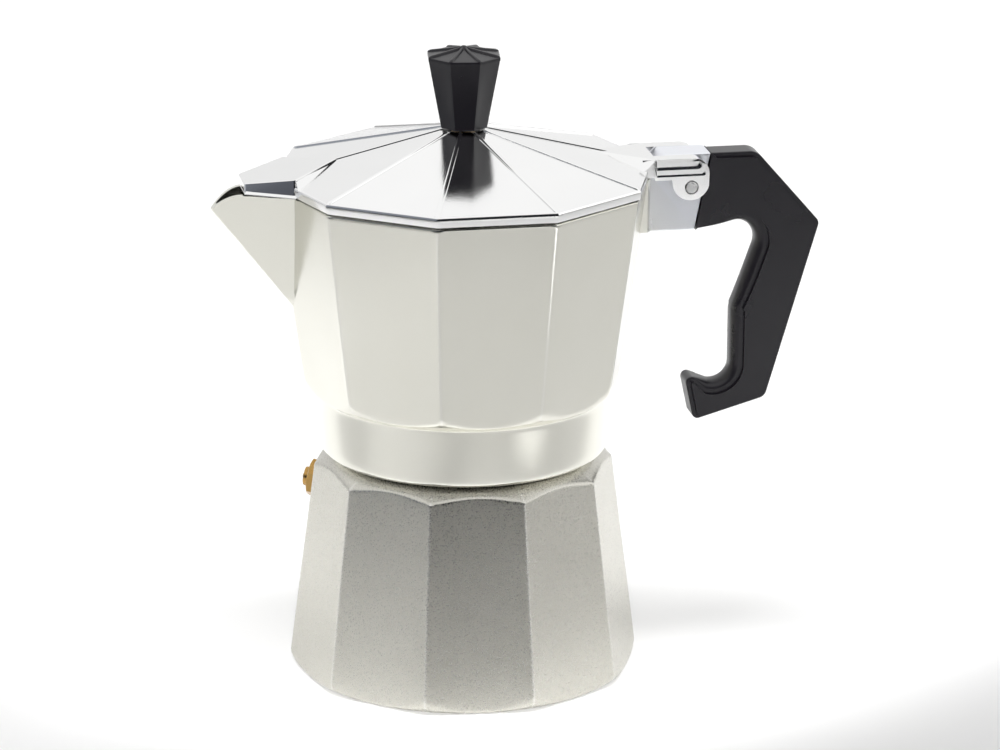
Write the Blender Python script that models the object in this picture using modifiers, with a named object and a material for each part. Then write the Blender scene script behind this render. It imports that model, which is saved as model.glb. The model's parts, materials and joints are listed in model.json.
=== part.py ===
"""Stovetop moka pot, three-cup size, modelled as the separate pieces it comes apart into.

Frame: origin on the pot's axis at the flat underside, +Z up, handle towards +X, spout towards -X.
All dimensions are in millimetres; MM turns them into Blender's metres.
"""

import bmesh
import bpy
from math import atan, cos, pi, radians, sin, tan
from mathutils import Matrix, Vector

MM = 0.001
MERGE = 1e-6
GAP = 0.3
SIDES = 10
ROUND_STEPS = 40
SMALL_STEPS = 24

# Boiler: a ten-sided foot under a turned shoulder and a threaded neck
BOILER_TURN = -4.77
BOILER_FOOT_R, BOILER_FOOT_Z = 44.3, 2.5
BOILER_TOP_R, BOILER_TOP_Z = 37.8, 52.7
BOILER_DRAFT = (BOILER_FOOT_R - BOILER_TOP_R) / (BOILER_TOP_Z - BOILER_FOOT_Z)
SHOULDER_SLOPE = 0.74
NECK_R, NECK_BORE_R, NECK_TOP = 31.2, 28.0, 69.5
BOILER_WALL = 2.7
BASE_THICKNESS = 3.2

# Thread between the neck and the collar
PITCH = 3.0
THREAD_CREST_R, COLLAR_CREST_R, COLLAR_BORE_R = 32.4, 31.8, 33.1
THREAD_LOW, THREAD_HIGH = 60.2, 67.6

# Collector: a ten-sided chamber on a round collar
RIM_R, RIM_Z = 47.5, 125.6
WAIST_R, WAIST_Z = 40.8, 77.8
BODY_DRAFT = (RIM_R - WAIST_R) / (RIM_Z - WAIST_Z)
COLLAR_R, COLLAR_TOP, COLLAR_BOTTOM = 36.7, 71.8, 56.7
CHAMBER_WALL = 2.4
CHAMBER_FLOOR = 79.2
SEAT_Z = 75.7

# Spout: a V with its keel running from the tip down to a corner of the chamber
SPOUT_TIP_X, SPOUT_TIP_Z = -63.4, 121.2
KEEL_FOOT_X, KEEL_FOOT_Z = -43.4, 95.6
SPOUT_ROOT_X, SPOUT_ROOT_HALF = -44.3, 10.2
SPOUT_WALL = 1.9
LIP_START_X = -55.5

# Hinge, its lug and the handle
PIN_X, PIN_Z, PIN_R = 56.2, 123.4, 1.45
LUG_HALF, LUG_TOP, LUG_BOTTOM = 4.3, 131.0, 111.3
LUG_ARC_R = 9.9
EAR_INNER, EAR_OUTER = 4.6, 8.7
HANDLE_HALF = 4.4
JOINT_FOOT_X, JOINT_SLOPE = 58.1, 0.2
HANDLE_SCREW_X = 65.5

# Lid
LID_R, LID_RIM_Z, LID_RIM_HEIGHT = 48.1, 128.8, 2.7
LID_TOP_Z, LID_CENTRE_R = 139.2, 5.2
LID_THICKNESS = 1.6
RIDGE_SLOPE = (LID_TOP_Z - LID_RIM_Z) / (LID_R - LID_CENTRE_R)
FLAP_START_X, FLAP_ROOT_X, FLAP_END_X = -31.5, -43.9, -55.7
FLAP_ROOT_HALF, FLAP_END_HALF = 12.2, 5.6
FLAP_TOP_Z, FLAP_SLOPE = 132.9, 0.18
TAB_Z = 130.9

# Knob
KNOB_BASE_R, KNOB_BASE_Z = 6.2, 139.5
KNOB_TOP_R, KNOB_SHOULDER_Z, KNOB_APEX_Z = 9.6, 157.8, 160.0
KNOB_TURN = 14.7

# Safety valve, on the middle of one boiler facet
VALVE_AZIMUTH, VALVE_Z = 157.23, 44.7
VALVE_HOLE_R, VALVE_STEM_R, VALVE_BORE_R = 3.7, 3.4, 1.75
VALVE_HEX_R = 4.95

# Funnel, strainer, gasket and filter plate
FLANGE_R, FLANGE_Z, SHEET = 31.0, 69.8, 0.8
BASKET_R, STEM_R = 27.0, 5.5
STRAINER_R, STRAINER_Z = 24.6, 55.4
GASKET_IN, GASKET_OUT, GASKET_LOW, GASKET_HIGH = 25.5, 32.4, 70.9, 74.5
PLATE_R, PLATE_Z, PLATE_THICK = 31.6, 74.8, 0.6

RISER_R, RISER_TOP, RISER_BORE = 4.9, 118.5, 2.7


def clear_scene():
    for obj in list(bpy.data.objects):
        bpy.data.objects.remove(obj, do_unlink=True)


def new_collection(name):
    made = bpy.data.collections.new(name)
    bpy.context.scene.collection.children.link(made)
    return made


clear_scene()
PARTS = new_collection("moka_pot")
CUTTERS = new_collection("cutters")


def material(name, colour, metallic, roughness):
    made = bpy.data.materials.new(name)
    made.use_nodes = True
    shader = made.node_tree.nodes["Principled BSDF"]
    shader.inputs["Base Color"].default_value = (*colour, 1.0)
    shader.inputs["Metallic"].default_value = metallic
    shader.inputs["Roughness"].default_value = roughness
    made.diffuse_color = (*colour, 1.0)
    return made


POLISHED = material("polished_aluminium", (0.90, 0.90, 0.89), 1.0, 0.10)
SATIN = material("satin_aluminium", (0.80, 0.79, 0.75), 1.0, 0.28)
BLASTED = material("blasted_aluminium", (0.72, 0.72, 0.70), 1.0, 0.45)
SHEET_ALUMINIUM = material("sheet_aluminium", (0.78, 0.78, 0.77), 1.0, 0.35)
STEEL = material("steel", (0.62, 0.62, 0.62), 1.0, 0.30)
BRASS = material("brass", (0.70, 0.50, 0.22), 1.0, 0.30)
PHENOLIC = material("black_phenolic", (0.022, 0.020, 0.021), 0.0, 0.38)
SILICONE = material("white_silicone", (0.82, 0.82, 0.80), 0.0, 0.55)


def shade(mesh, angle=35):
    mesh.shade_smooth()
    mesh.set_sharp_from_angle(angle=radians(angle))


def add_object(name, mesh, finish=None):
    """A part when it has a finish, a cutter when it has none."""
    obj = bpy.data.objects.new(name, mesh)
    (PARTS if finish else CUTTERS).objects.link(obj)
    if finish:
        mesh.materials.clear()
        mesh.materials.append(finish)
        shade(mesh)
    else:
        obj.hide_render = True
        obj.display_type = "WIRE"
    return obj


def from_bmesh(name, bm, finish=None):
    bmesh.ops.recalc_face_normals(bm, faces=bm.faces)
    mesh = bpy.data.meshes.new(name)
    bm.to_mesh(mesh)
    bm.free()
    return add_object(name, mesh, finish)


def turned(name, profile, finish=None, steps=ROUND_STEPS, ring=False, turn=0.0):
    """Turns (radius, height) points, listed down the outer side, about Z. A ring closes on itself."""
    bm = bmesh.new()
    verts = [bm.verts.new((r * MM, 0.0, z * MM)) for r, z in profile]
    for a, b in zip(verts, verts[1:]):
        bm.edges.new((a, b))
    if ring:
        bm.edges.new((verts[-1], verts[0]))
    mesh = bpy.data.meshes.new(name)
    bm.to_mesh(mesh)
    bm.free()
    obj = add_object(name, mesh, finish)
    screw = obj.modifiers.new("turn", "SCREW")
    screw.axis = "Z"
    screw.steps = screw.render_steps = steps
    screw.use_merge_vertices = True
    screw.merge_threshold = MERGE
    obj.rotation_euler.z = radians(turn)
    return obj


def baked(obj, finish=None, fill=False):
    """A plain mesh of the object as its modifiers or its curve leave it, open ends filled if asked."""
    bpy.context.view_layer.update()
    mesh = bpy.data.meshes.new_from_object(obj.evaluated_get(bpy.context.evaluated_depsgraph_get()))
    bm = bmesh.new()
    bm.from_mesh(mesh)
    bmesh.ops.remove_doubles(bm, verts=bm.verts, dist=MERGE)
    if fill:
        bmesh.ops.holes_fill(bm, edges=[e for e in bm.edges if e.is_boundary])
    bmesh.ops.recalc_face_normals(bm, faces=bm.faces)
    bm.to_mesh(mesh)
    bm.free()
    name, place = obj.name, obj.matrix_world.copy()
    bpy.data.objects.remove(obj, do_unlink=True)
    made = add_object(name, mesh, finish)
    made.matrix_world = place
    return made


def hull(name, points, finish=None):
    """The solid that stretches over a few corner points."""
    bm = bmesh.new()
    for p in points:
        bm.verts.new(Vector(p) * MM)
    bmesh.ops.convex_hull(bm, input=bm.verts)
    bmesh.ops.dissolve_limit(bm, angle_limit=radians(0.02), verts=bm.verts, edges=bm.edges)
    return from_bmesh(name, bm, finish)


def box(name, low, high, finish=None):
    bm = bmesh.new()
    bmesh.ops.create_cube(bm, size=1.0)
    size = [(b - a) * MM for a, b in zip(low, high)]
    middle = [(a + b) / 2 * MM for a, b in zip(low, high)]
    bmesh.ops.scale(bm, vec=size, verts=bm.verts)
    bmesh.ops.translate(bm, vec=middle, verts=bm.verts)
    return from_bmesh(name, bm, finish)


def rod(name, start, end, r, finish=None, steps=SMALL_STEPS):
    """A plain cylinder between two points."""
    a, b = Vector(start) * MM, Vector(end) * MM
    bm = bmesh.new()
    bmesh.ops.create_cone(
        bm, cap_ends=True, segments=steps, radius1=r * MM, radius2=r * MM, depth=(b - a).length
    )
    turn = (b - a).to_track_quat("Z", "Y").to_matrix().to_4x4()
    bmesh.ops.transform(bm, matrix=Matrix.Translation((a + b) / 2) @ turn, verts=bm.verts)
    return from_bmesh(name, bm, finish)


def rounded(corners, step=18.0):
    """The outline through (x, z, radius) corners, each rounded by an arc of its radius."""
    points = []
    count = len(corners)
    for i, (x, z, r) in enumerate(corners):
        here = Vector((x, z))
        if not r:
            points.append(here)
            continue
        before = (Vector(corners[i - 1][:2]) - here).normalized()
        after = (Vector(corners[(i + 1) % count][:2]) - here).normalized()
        half = before.angle(after) / 2
        centre = here + (before + after).normalized() * (r / sin(half))
        first = here + before * (r / tan(half)) - centre
        sweep = first.angle_signed(here + after * (r / tan(half)) - centre)
        parts = max(2, round(abs(sweep) / radians(step)))
        for k in range(parts + 1):
            turn = Matrix.Rotation(-sweep * k / parts, 2)
            points.append(centre + turn @ first)
    return points


def plate(name, outline, y_low, y_high, finish=None):
    """A flat outline in the XZ plane, as thick as from y_low to y_high."""
    curve = bpy.data.curves.new(name, "CURVE")
    curve.dimensions = "2D"
    curve.fill_mode = "BOTH"
    curve.extrude = (y_high - y_low) / 2 * MM
    spline = curve.splines.new("POLY")
    spline.points.add(len(outline) - 1)
    for point, (x, z) in zip(spline.points, outline):
        point.co = (x * MM, z * MM, 0.0, 1.0)
    spline.use_cyclic_u = True
    obj = bpy.data.objects.new(name, curve)
    CUTTERS.objects.link(obj)
    obj.rotation_euler.x = pi / 2
    obj.location.y = (y_low + y_high) / 2 * MM
    return baked(obj, finish)


def combine(obj, other, operation):
    step = obj.modifiers.new(f"{operation.lower()}_{other.name}", "BOOLEAN")
    step.operation = operation
    step.object = other
    step.solver = "EXACT"


def join(obj, *others):
    for other in others:
        combine(obj, other, "UNION")


def cut(obj, *others):
    for other in others:
        combine(obj, other, "DIFFERENCE")


def weld(obj):
    obj.modifiers.new("weld", "WELD").merge_threshold = 2 * MERGE


def bevel(obj, width, segments=2, angle=40):
    made = obj.modifiers.new("rounded_edges", "BEVEL")
    made.width = width * MM
    made.segments = segments
    made.limit_method = "ANGLE"
    made.angle_limit = radians(angle)


def thread_ridge(name, root_r, crest_r, low, high, phase):
    """One helical ridge, right-handed; phase is the height of its centre at angle zero."""
    thick_root, thick_crest = 0.85, 0.3
    bm = bmesh.new()
    corners = [
        (root_r, phase + thick_root),
        (crest_r, phase + thick_crest),
        (crest_r, phase - thick_crest),
        (root_r, phase - thick_root),
    ]
    if crest_r < root_r:
        corners.reverse()
    shift = PITCH * round((low - phase) / PITCH)
    verts = [bm.verts.new((r * MM, 0.0, (z + shift) * MM)) for r, z in corners]
    for a, b in zip(verts, verts[1:] + verts[:1]):
        bm.edges.new((a, b))
    mesh = bpy.data.meshes.new(name)
    bm.to_mesh(mesh)
    bm.free()
    obj = add_object(name, mesh)
    turns = (high - low) / PITCH
    screw = obj.modifiers.new("helix", "SCREW")
    screw.axis = "Z"
    screw.angle = 2 * pi * turns
    screw.screw_offset = PITCH * turns * MM
    screw.steps = screw.render_steps = round(ROUND_STEPS * turns)
    return baked(obj, fill=True)


def corner_line(r_low, z_low, draft, z):
    """Corner radius of a tapered ten-sided wall at height z."""
    return r_low - draft * (z - z_low)


def shoulder_z(r):
    return BOILER_TOP_Z + (BOILER_TOP_R - r) * SHOULDER_SLOPE


def facet_mid(corner_r):
    return corner_r * cos(pi / SIDES)


# ---------------------------------------------------------------- boiler


def make_boiler(valve_place):
    low, high = -2.0, 76.0
    boiler = turned(
        "boiler",
        [
            (0, high),
            (corner_line(BOILER_FOOT_R, BOILER_FOOT_Z, BOILER_DRAFT, high), high),
            (corner_line(BOILER_FOOT_R, BOILER_FOOT_Z, BOILER_DRAFT, low), low),
            (0, low),
        ],
        BLASTED,
        steps=SIDES,
        turn=BOILER_TURN,
    )
    widest = BOILER_FOOT_R + 1.5
    envelope = turned(
        "boiler_envelope",
        [
            (0, NECK_TOP),
            (NECK_R - 0.4, NECK_TOP),
            (NECK_R, NECK_TOP - 0.4),
            (NECK_R, shoulder_z(NECK_R)),
            (widest, shoulder_z(widest)),
            (widest, 7.0),
            (BOILER_FOOT_R + 0.2, 3.2),
            (BOILER_FOOT_R - 0.9, 1.0),
            (BOILER_FOOT_R - 2.5, 0.0),
            (0, 0.0),
        ],
    )
    inner_low = facet_mid(corner_line(BOILER_FOOT_R, BOILER_FOOT_Z, BOILER_DRAFT, 6.0)) - BOILER_WALL
    inner_high = facet_mid(corner_line(BOILER_FOOT_R, BOILER_FOOT_Z, BOILER_DRAFT, 49.5)) - BOILER_WALL
    inside = turned(
        "boiler_inside",
        [
            (0, NECK_TOP + 2),
            (NECK_BORE_R, NECK_TOP + 2),
            (NECK_BORE_R, 56.5),
            (inner_high - 1.6, 51.6),
            (inner_high, 49.5),
            (inner_low, 6.0),
            (inner_low - 2.2, BASE_THICKNESS + 0.4),
            (0, BASE_THICKNESS),
        ],
    )
    thread = thread_ridge("neck_thread", NECK_R - 0.3, THREAD_CREST_R, THREAD_LOW, THREAD_HIGH, 0.0)
    hole = rod("valve_hole", (0, 0, -9), (0, 0, 6), VALVE_HOLE_R)
    hole.parent = valve_place
    combine(boiler, envelope, "INTERSECT")
    join(boiler, thread)
    cut(boiler, inside, hole)


# ---------------------------------------------------------------- safety valve


def make_valve():
    """Everything here is turned about the valve's own axis, local Z, which points out of the facet."""
    lean = atan(BOILER_DRAFT * cos(pi / SIDES))
    reach = facet_mid(corner_line(BOILER_FOOT_R, BOILER_FOOT_Z, BOILER_DRAFT, VALVE_Z)) * MM
    around = radians(VALVE_AZIMUTH)
    place = bpy.data.objects.new("valve_axis", None)
    PARTS.objects.link(place)
    place.location = (reach * cos(around), reach * sin(around), VALVE_Z * MM)
    place.rotation_euler = (0.0, pi / 2 - lean, around)

    body = turned(
        "safety_valve_body",
        [(0, 3.2), (4.1, 3.2), (VALVE_HEX_R, 2.6), (VALVE_HEX_R, 1.4), (4.6, 1.2), (0, 1.2)],
        BRASS,
        steps=6,
    )
    body.rotation_euler.z = pi
    stem = turned(
        "valve_stem",
        [
            (0, 4.6),
            (2.05, 4.6),
            (2.45, 4.2),
            (2.45, 2.2),
            (VALVE_STEM_R, 2.2),
            (VALVE_STEM_R, -4.2),
            (VALVE_STEM_R - 0.3, -4.5),
            (0, -4.5),
        ],
        steps=SMALL_STEPS,
    )
    bore = turned(
        "valve_bore",
        [(0, 6.0), (VALVE_BORE_R, 6.0), (VALVE_BORE_R, -3.3), (0.8, -3.3), (0.8, -6.0), (0, -6.0)],
        steps=SMALL_STEPS,
    )
    washer = turned(
        "safety_valve_washer",
        [(4.7, 0.9), (4.7, GAP), (VALVE_STEM_R + GAP, GAP), (VALVE_STEM_R + GAP, 0.9)],
        SILICONE,
        steps=SMALL_STEPS,
        ring=True,
    )
    pin = turned(
        "safety_valve_pin",
        [(0, 5.0), (0.45, 5.0), (0.55, 4.9), (0.55, -2.1), (1.4, -2.1), (1.4, -2.6), (1.0, -3.0), (0, -3.0)],
        BRASS,
        steps=SMALL_STEPS,
    )
    retainer = turned(
        "safety_valve_retainer",
        [(VALVE_BORE_R - GAP, 4.2), (VALVE_BORE_R - GAP, 3.3), (0.85, 3.3), (0.85, 4.2)],
        BRASS,
        steps=SMALL_STEPS,
        ring=True,
    )
    join(body, stem)
    cut(body, bore)
    for piece in (body, stem, bore, washer, pin, retainer, make_valve_spring()):
        piece.parent = place
    return place


def make_valve_spring():
    low, high, coils, per_coil, mean_r, wire_r = -1.75, 2.95, 5, 12, 1.13, 0.17
    curve = bpy.data.curves.new("safety_valve_spring", "CURVE")
    curve.dimensions = "3D"
    curve.bevel_depth = wire_r * MM
    curve.bevel_resolution = 1
    curve.use_fill_caps = True
    spline = curve.splines.new("POLY")
    count = coils * per_coil + 1
    spline.points.add(count - 1)
    for i, point in enumerate(spline.points):
        angle = 2 * pi * i / per_coil
        z = low + (high - low) * i / (count - 1)
        point.co = (mean_r * cos(angle) * MM, mean_r * sin(angle) * MM, z * MM, 1.0)
    obj = bpy.data.objects.new("safety_valve_spring", curve)
    PARTS.objects.link(obj)
    return baked(obj, STEEL)


# ---------------------------------------------------------------- funnel, seal and filter


def perforate(obj, hole_r, spacing, rings, z_low, z_high):
    """Cuts rings of small holes round a centre hole; ring n has six times n holes."""
    bm = bmesh.new()
    spots = [(0.0, 0.0)]
    for ring in range(1, rings + 1):
        for k in range(6 * ring):
            angle = 2 * pi * k / (6 * ring)
            spots.append((ring * spacing * cos(angle), ring * spacing * sin(angle)))
    for x, y in spots:
        bmesh.ops.create_cone(
            bm,
            cap_ends=True,
            segments=6,
            radius1=hole_r * MM,
            radius2=hole_r * MM,
            depth=(z_high - z_low) * MM,
            matrix=Matrix.Translation(Vector((x, y, (z_low + z_high) / 2)) * MM),
        )
    cut(obj, from_bmesh(f"{obj.name}_holes", bm))


def make_funnel():
    top = FLANGE_Z + SHEET
    turned(
        "coffee_funnel",
        [
            (FLANGE_R, top),
            (FLANGE_R, FLANGE_Z),
            (BASKET_R, FLANGE_Z),
            (BASKET_R - 0.4, FLANGE_Z - 0.4),
            (BASKET_R - 1.1, STRAINER_Z - 0.8),
            (BASKET_R - 1.8, STRAINER_Z - 2.2),
            (STEM_R + 0.7, 45.0),
            (STEM_R, 44.0),
            (STEM_R, 7.0),
            (STEM_R - 0.7, 7.0),
            (STEM_R - 0.7, 44.4),
            (STEM_R + 0.1, 45.6),
            (BASKET_R - 2.5, STRAINER_Z - 1.5),
            (BASKET_R - 1.9, STRAINER_Z - 0.4),
            (BASKET_R - 1.2, FLANGE_Z - 0.2),
            (BASKET_R - 0.8, top),
        ],
        SHEET_ALUMINIUM,
        ring=True,
    )
    strainer = turned(
        "funnel_strainer",
        [(0, STRAINER_Z + 0.6), (STRAINER_R, STRAINER_Z + 0.6), (STRAINER_R, STRAINER_Z), (0, STRAINER_Z)],
        SHEET_ALUMINIUM,
    )
    perforate(strainer, 0.8, 6.4, 3, STRAINER_Z - 1, STRAINER_Z + 2)


def make_seal():
    turned(
        "gasket",
        [
            (GASKET_OUT - 0.3, GASKET_HIGH),
            (GASKET_OUT, GASKET_HIGH - 0.4),
            (GASKET_OUT, GASKET_LOW + 0.4),
            (GASKET_OUT - 0.3, GASKET_LOW),
            (GASKET_IN, GASKET_LOW),
            (GASKET_IN, GASKET_HIGH),
        ],
        SILICONE,
        ring=True,
    )
    top = PLATE_Z + PLATE_THICK
    filter_plate = turned(
        "filter_plate", [(0, top), (PLATE_R, top), (PLATE_R, PLATE_Z), (0, PLATE_Z)], SHEET_ALUMINIUM
    )
    perforate(filter_plate, 0.8, 5.4, 4, PLATE_Z - 1, PLATE_Z + 2)


# ---------------------------------------------------------------- collector


def spout_keel_x(z, inset=0.0):
    run = (SPOUT_TIP_X - KEEL_FOOT_X) / (SPOUT_TIP_Z - KEEL_FOOT_Z)
    return KEEL_FOOT_X + run * (z - KEEL_FOOT_Z) + inset


def spout_wedge(name, wall, root_x, nose):
    """The V of the spout, solid, thinner all round by the wall; its top is left to be trimmed."""
    over = 3.0 + wall
    top = RIM_Z + over
    rise = (SPOUT_ROOT_HALF - 0.4) / (RIM_Z - KEEL_FOOT_Z)
    root_half = SPOUT_ROOT_HALF + rise * over - wall * 1.12
    keel_shift = wall * 1.45
    tip_x = spout_keel_x(top, keel_shift)
    grow = (root_x - SPOUT_ROOT_X) * (root_half - nose) / (SPOUT_ROOT_X - tip_x)
    foot_z = KEEL_FOOT_Z + wall * 1.9
    points = [(root_x, side * (root_half + grow), top) for side in (-1, 1)]
    points += [(tip_x, side * nose, top) for side in (-1, 1)]
    points += [(tip_x - 0.6 * nose, 0.0, top)]
    points += [(spout_keel_x(foot_z, keel_shift), side * 0.3, foot_z) for side in (-1, 1)]
    points += [(root_x, side * max(grow, 0.3), foot_z) for side in (-1, 1)]
    return hull(name, points)


def lip_height(x):
    """The spout's rim: level with the chamber's, then curving down to the tip."""
    past = max(0.0, LIP_START_X - x)
    drop = (RIM_Z - SPOUT_TIP_Z) / (LIP_START_X - SPOUT_TIP_X) ** 2
    return RIM_Z - drop * past**2


def make_lug_outline():
    """Side view of the lug: clear of the lid's rim along an arc about the pin."""
    outline = [(38.0, LUG_BOTTOM), (JOINT_FOOT_X, LUG_BOTTOM)]
    outline.append((JOINT_FOOT_X + JOINT_SLOPE * (LUG_TOP - LUG_BOTTOM), LUG_TOP))
    high, low = LUG_TOP - PIN_Z, RIM_Z - PIN_Z
    parts = 4
    for k in range(parts + 1):
        rise = high + (low - high) * k / parts
        outline.append((PIN_X - (LUG_ARC_R**2 - rise**2) ** 0.5, PIN_Z + rise))
    outline.append((38.0, RIM_Z))
    return outline


def make_collector():
    low, high = COLLAR_BOTTOM - 3, RIM_Z + 3

    def wall(z):
        return WAIST_R + BODY_DRAFT * (z - WAIST_Z)

    collector = turned(
        "collector", [(0, high), (wall(high), high), (wall(low), low), (0, low)], SATIN, steps=SIDES
    )
    widest = RIM_R + 4
    envelope = turned(
        "collector_envelope",
        [
            (0, RIM_Z),
            (widest, RIM_Z),
            (widest, WAIST_Z + 1.6),
            (41.3, WAIST_Z + 1.6),
            (40.95, 77.6),
            (40.35, 75.7),
            (39.5, 74.2),
            (38.6, 73.1),
            (37.1, 72.0),
            (COLLAR_R, COLLAR_TOP - 0.3),
            (COLLAR_R - 0.4, COLLAR_BOTTOM + 2.0),
            (COLLAR_R - 0.8, COLLAR_BOTTOM + 0.8),
            (COLLAR_R - 1.6, COLLAR_BOTTOM + 0.2),
            (COLLAR_R - 2.5, COLLAR_BOTTOM),
            (COLLAR_BORE_R + 0.4, COLLAR_BOTTOM),
            (COLLAR_BORE_R, COLLAR_BOTTOM + 0.9),
            (COLLAR_BORE_R, SEAT_Z),
            (26.0, SEAT_Z),
            (7.0, SEAT_Z + 1.3),
            (0, SEAT_Z + 1.3),
        ],
        turn=180 / ROUND_STEPS,
    )
    spout = spout_wedge("spout_outside", 0.0, -38.0, 1.1)
    lug = plate("lug", make_lug_outline(), -LUG_HALF, LUG_HALF)
    tongue = box("lug_tongue", (58.0, -2.0, 116.6), (70.0, 2.0, 123.6))
    flare_plan = [(38.0, 9.2), (42.6, 7.8), (47.3, LUG_HALF - 0.1)]
    flare = hull(
        "lug_flare",
        [(x, side * y, z) for x, y in flare_plan for side in (-1, 1) for z in (LUG_BOTTOM, 124.9)],
    )
    combine(collector, envelope, "INTERSECT")
    join(collector, spout, lug, tongue, flare)

    slope_in = CHAMBER_WALL / cos(pi / SIDES)
    chamber = turned(
        "chamber",
        [
            (0, high + 2),
            (wall(high + 2) - slope_in, high + 2),
            (wall(CHAMBER_FLOOR + 2.5) - slope_in, CHAMBER_FLOOR + 2.5),
            (wall(CHAMBER_FLOOR) - slope_in - 2.6, CHAMBER_FLOOR),
            (0, CHAMBER_FLOOR),
        ],
        steps=SIDES,
    )
    spout_inside = spout_wedge("spout_inside", SPOUT_WALL, -38.0, 0.4)
    lip_xs = [LIP_START_X + 2] + [LIP_START_X - 10.5 * k / 6 for k in range(7)]
    lip_outline = [(-36.0, RIM_Z)] + [(x, lip_height(x)) for x in lip_xs]
    beyond = SPOUT_TIP_X - 14.0
    lip_outline += [(beyond, lip_height(lip_xs[-1])), (beyond, RIM_Z + 8), (-36.0, RIM_Z + 8)]
    lip = plate("lip_trim", lip_outline, -14.0, 14.0)
    riser_hole = rod("riser_hole", (0, 0, SEAT_Z - 1), (0, 0, CHAMBER_FLOOR + 3), RISER_R + GAP)
    pin_hole = rod("lug_pin_hole", (PIN_X, -15, PIN_Z), (PIN_X, 15, PIN_Z), PIN_R + GAP)
    screw_hole = rod("tongue_screw_hole", (HANDLE_SCREW_X, 0, 110), (HANDLE_SCREW_X, 0, 126), 1.75)
    cut(collector, chamber, spout_inside, lip, riser_hole, pin_hole, screw_hole)
    thread = thread_ridge(
        "collar_thread", COLLAR_BORE_R + 0.3, COLLAR_CREST_R, THREAD_LOW - 1.2, THREAD_HIGH + 1.0, PITCH / 2
    )
    join(collector, thread)
    weld(collector)


def make_riser():
    foot, shoulder = SEAT_Z + 0.9, CHAMBER_FLOOR + GAP
    riser = turned(
        "riser_column",
        [
            (0, RISER_TOP),
            (3.2, RISER_TOP),
            (4.3, RISER_TOP - 1.0),
            (6.1, shoulder + 3.0),
            (7.4, shoulder + 0.8),
            (7.4, shoulder),
            (RISER_R, shoulder),
            (RISER_R, foot),
            (RISER_BORE + 0.9, foot),
            (RISER_BORE, shoulder + 4.0),
            (RISER_BORE - 0.6, RISER_TOP - 2.0),
            (0, RISER_TOP - 2.0),
        ],
        SATIN,
        steps=SMALL_STEPS,
    )
    slot = box("riser_slot", (-1.1, -8, RISER_TOP - 6.5), (1.1, 8, RISER_TOP - 2.6))
    cut(riser, slot)


# ---------------------------------------------------------------- handle


def make_handle():
    def joint_x(z):
        return JOINT_FOOT_X + JOINT_SLOPE * (z - LUG_BOTTOM) + GAP

    top, under = 130.7, 111.2
    corners = [
        (joint_x(top), top, 0),
        (74.0, top, 4.0),
        (90.7, 111.6, 2.0),
        (77.4, 66.1, 2.5),
        (58.8, 60.8, 1.5),
        (56.2, 73.0, 1.5),
        (68.9, 68.8, 4.5),
        (68.9, 89.5, 4.0),
        (77.5, 114.2, 5.2),
        (joint_x(under), under, 0),
    ]
    handle = plate("handle", rounded(corners), -HANDLE_HALF, HANDLE_HALF, PHENOLIC)
    bevel(handle, 1.4)
    slot = box("tongue_slot", (54.0, -2.35, 116.2), (70.4, 2.35, 124.0))
    counterbore = rod("screw_counterbore", (HANDLE_SCREW_X, 0, 104), (HANDLE_SCREW_X, 0, 114.6), 2.95)
    hole = rod("screw_hole", (HANDLE_SCREW_X, 0, 104), (HANDLE_SCREW_X, 0, 118), 1.75)
    cut(handle, slot, counterbore, hole)

    screw = turned(
        "handle_screw",
        [
            (0, 122.6),
            (1.1, 122.6),
            (1.4, 122.2),
            (1.4, 114.3),
            (2.6, 114.3),
            (2.6, 113.3),
            (2.1, 112.7),
            (0, 112.7),
        ],
        STEEL,
        steps=SMALL_STEPS,
    )
    screw.location.x = HANDLE_SCREW_X * MM
    driver_slot = box("screw_driver_slot", (-0.4, -4, 112.0), (0.4, 4, 113.3))
    driver_slot.location.x = HANDLE_SCREW_X * MM
    cut(screw, driver_slot)


# ---------------------------------------------------------------- lid, hinge pin and knob


def flap_z(x):
    return FLAP_TOP_Z - FLAP_SLOPE * (FLAP_START_X - x)


def flap_half(x):
    run = (FLAP_ROOT_HALF - FLAP_END_HALF) / (FLAP_ROOT_X - FLAP_END_X)
    return FLAP_END_HALF + run * (x - FLAP_END_X)


def make_ear(side):
    """One hinge ear: a level top, a rounded nose and an eye round the pin."""
    eye = (56.0, 124.9)
    outline = [(43.6, 126.3), (43.6, TAB_Z), (56.6, TAB_Z)]
    nose = Vector((56.6, 126.8))
    for k in range(1, 5):
        angle = radians(90 - 22.5 * k)
        outline.append((nose.x + 4.1 * cos(angle), nose.y + 4.1 * sin(angle)))
    for k in range(10):
        angle = radians(-15 - 18 * k)
        outline.append((eye[0] + 4.75 * cos(angle), eye[1] + 4.75 * sin(angle)))
    outline += [(51.1, 125.5), (46.9, 125.5), (46.6, 126.3)]
    low, high = sorted((side * EAR_INNER, side * EAR_OUTER))
    return plate(f"ear_{'far' if side > 0 else 'near'}", outline, low, high)


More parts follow.
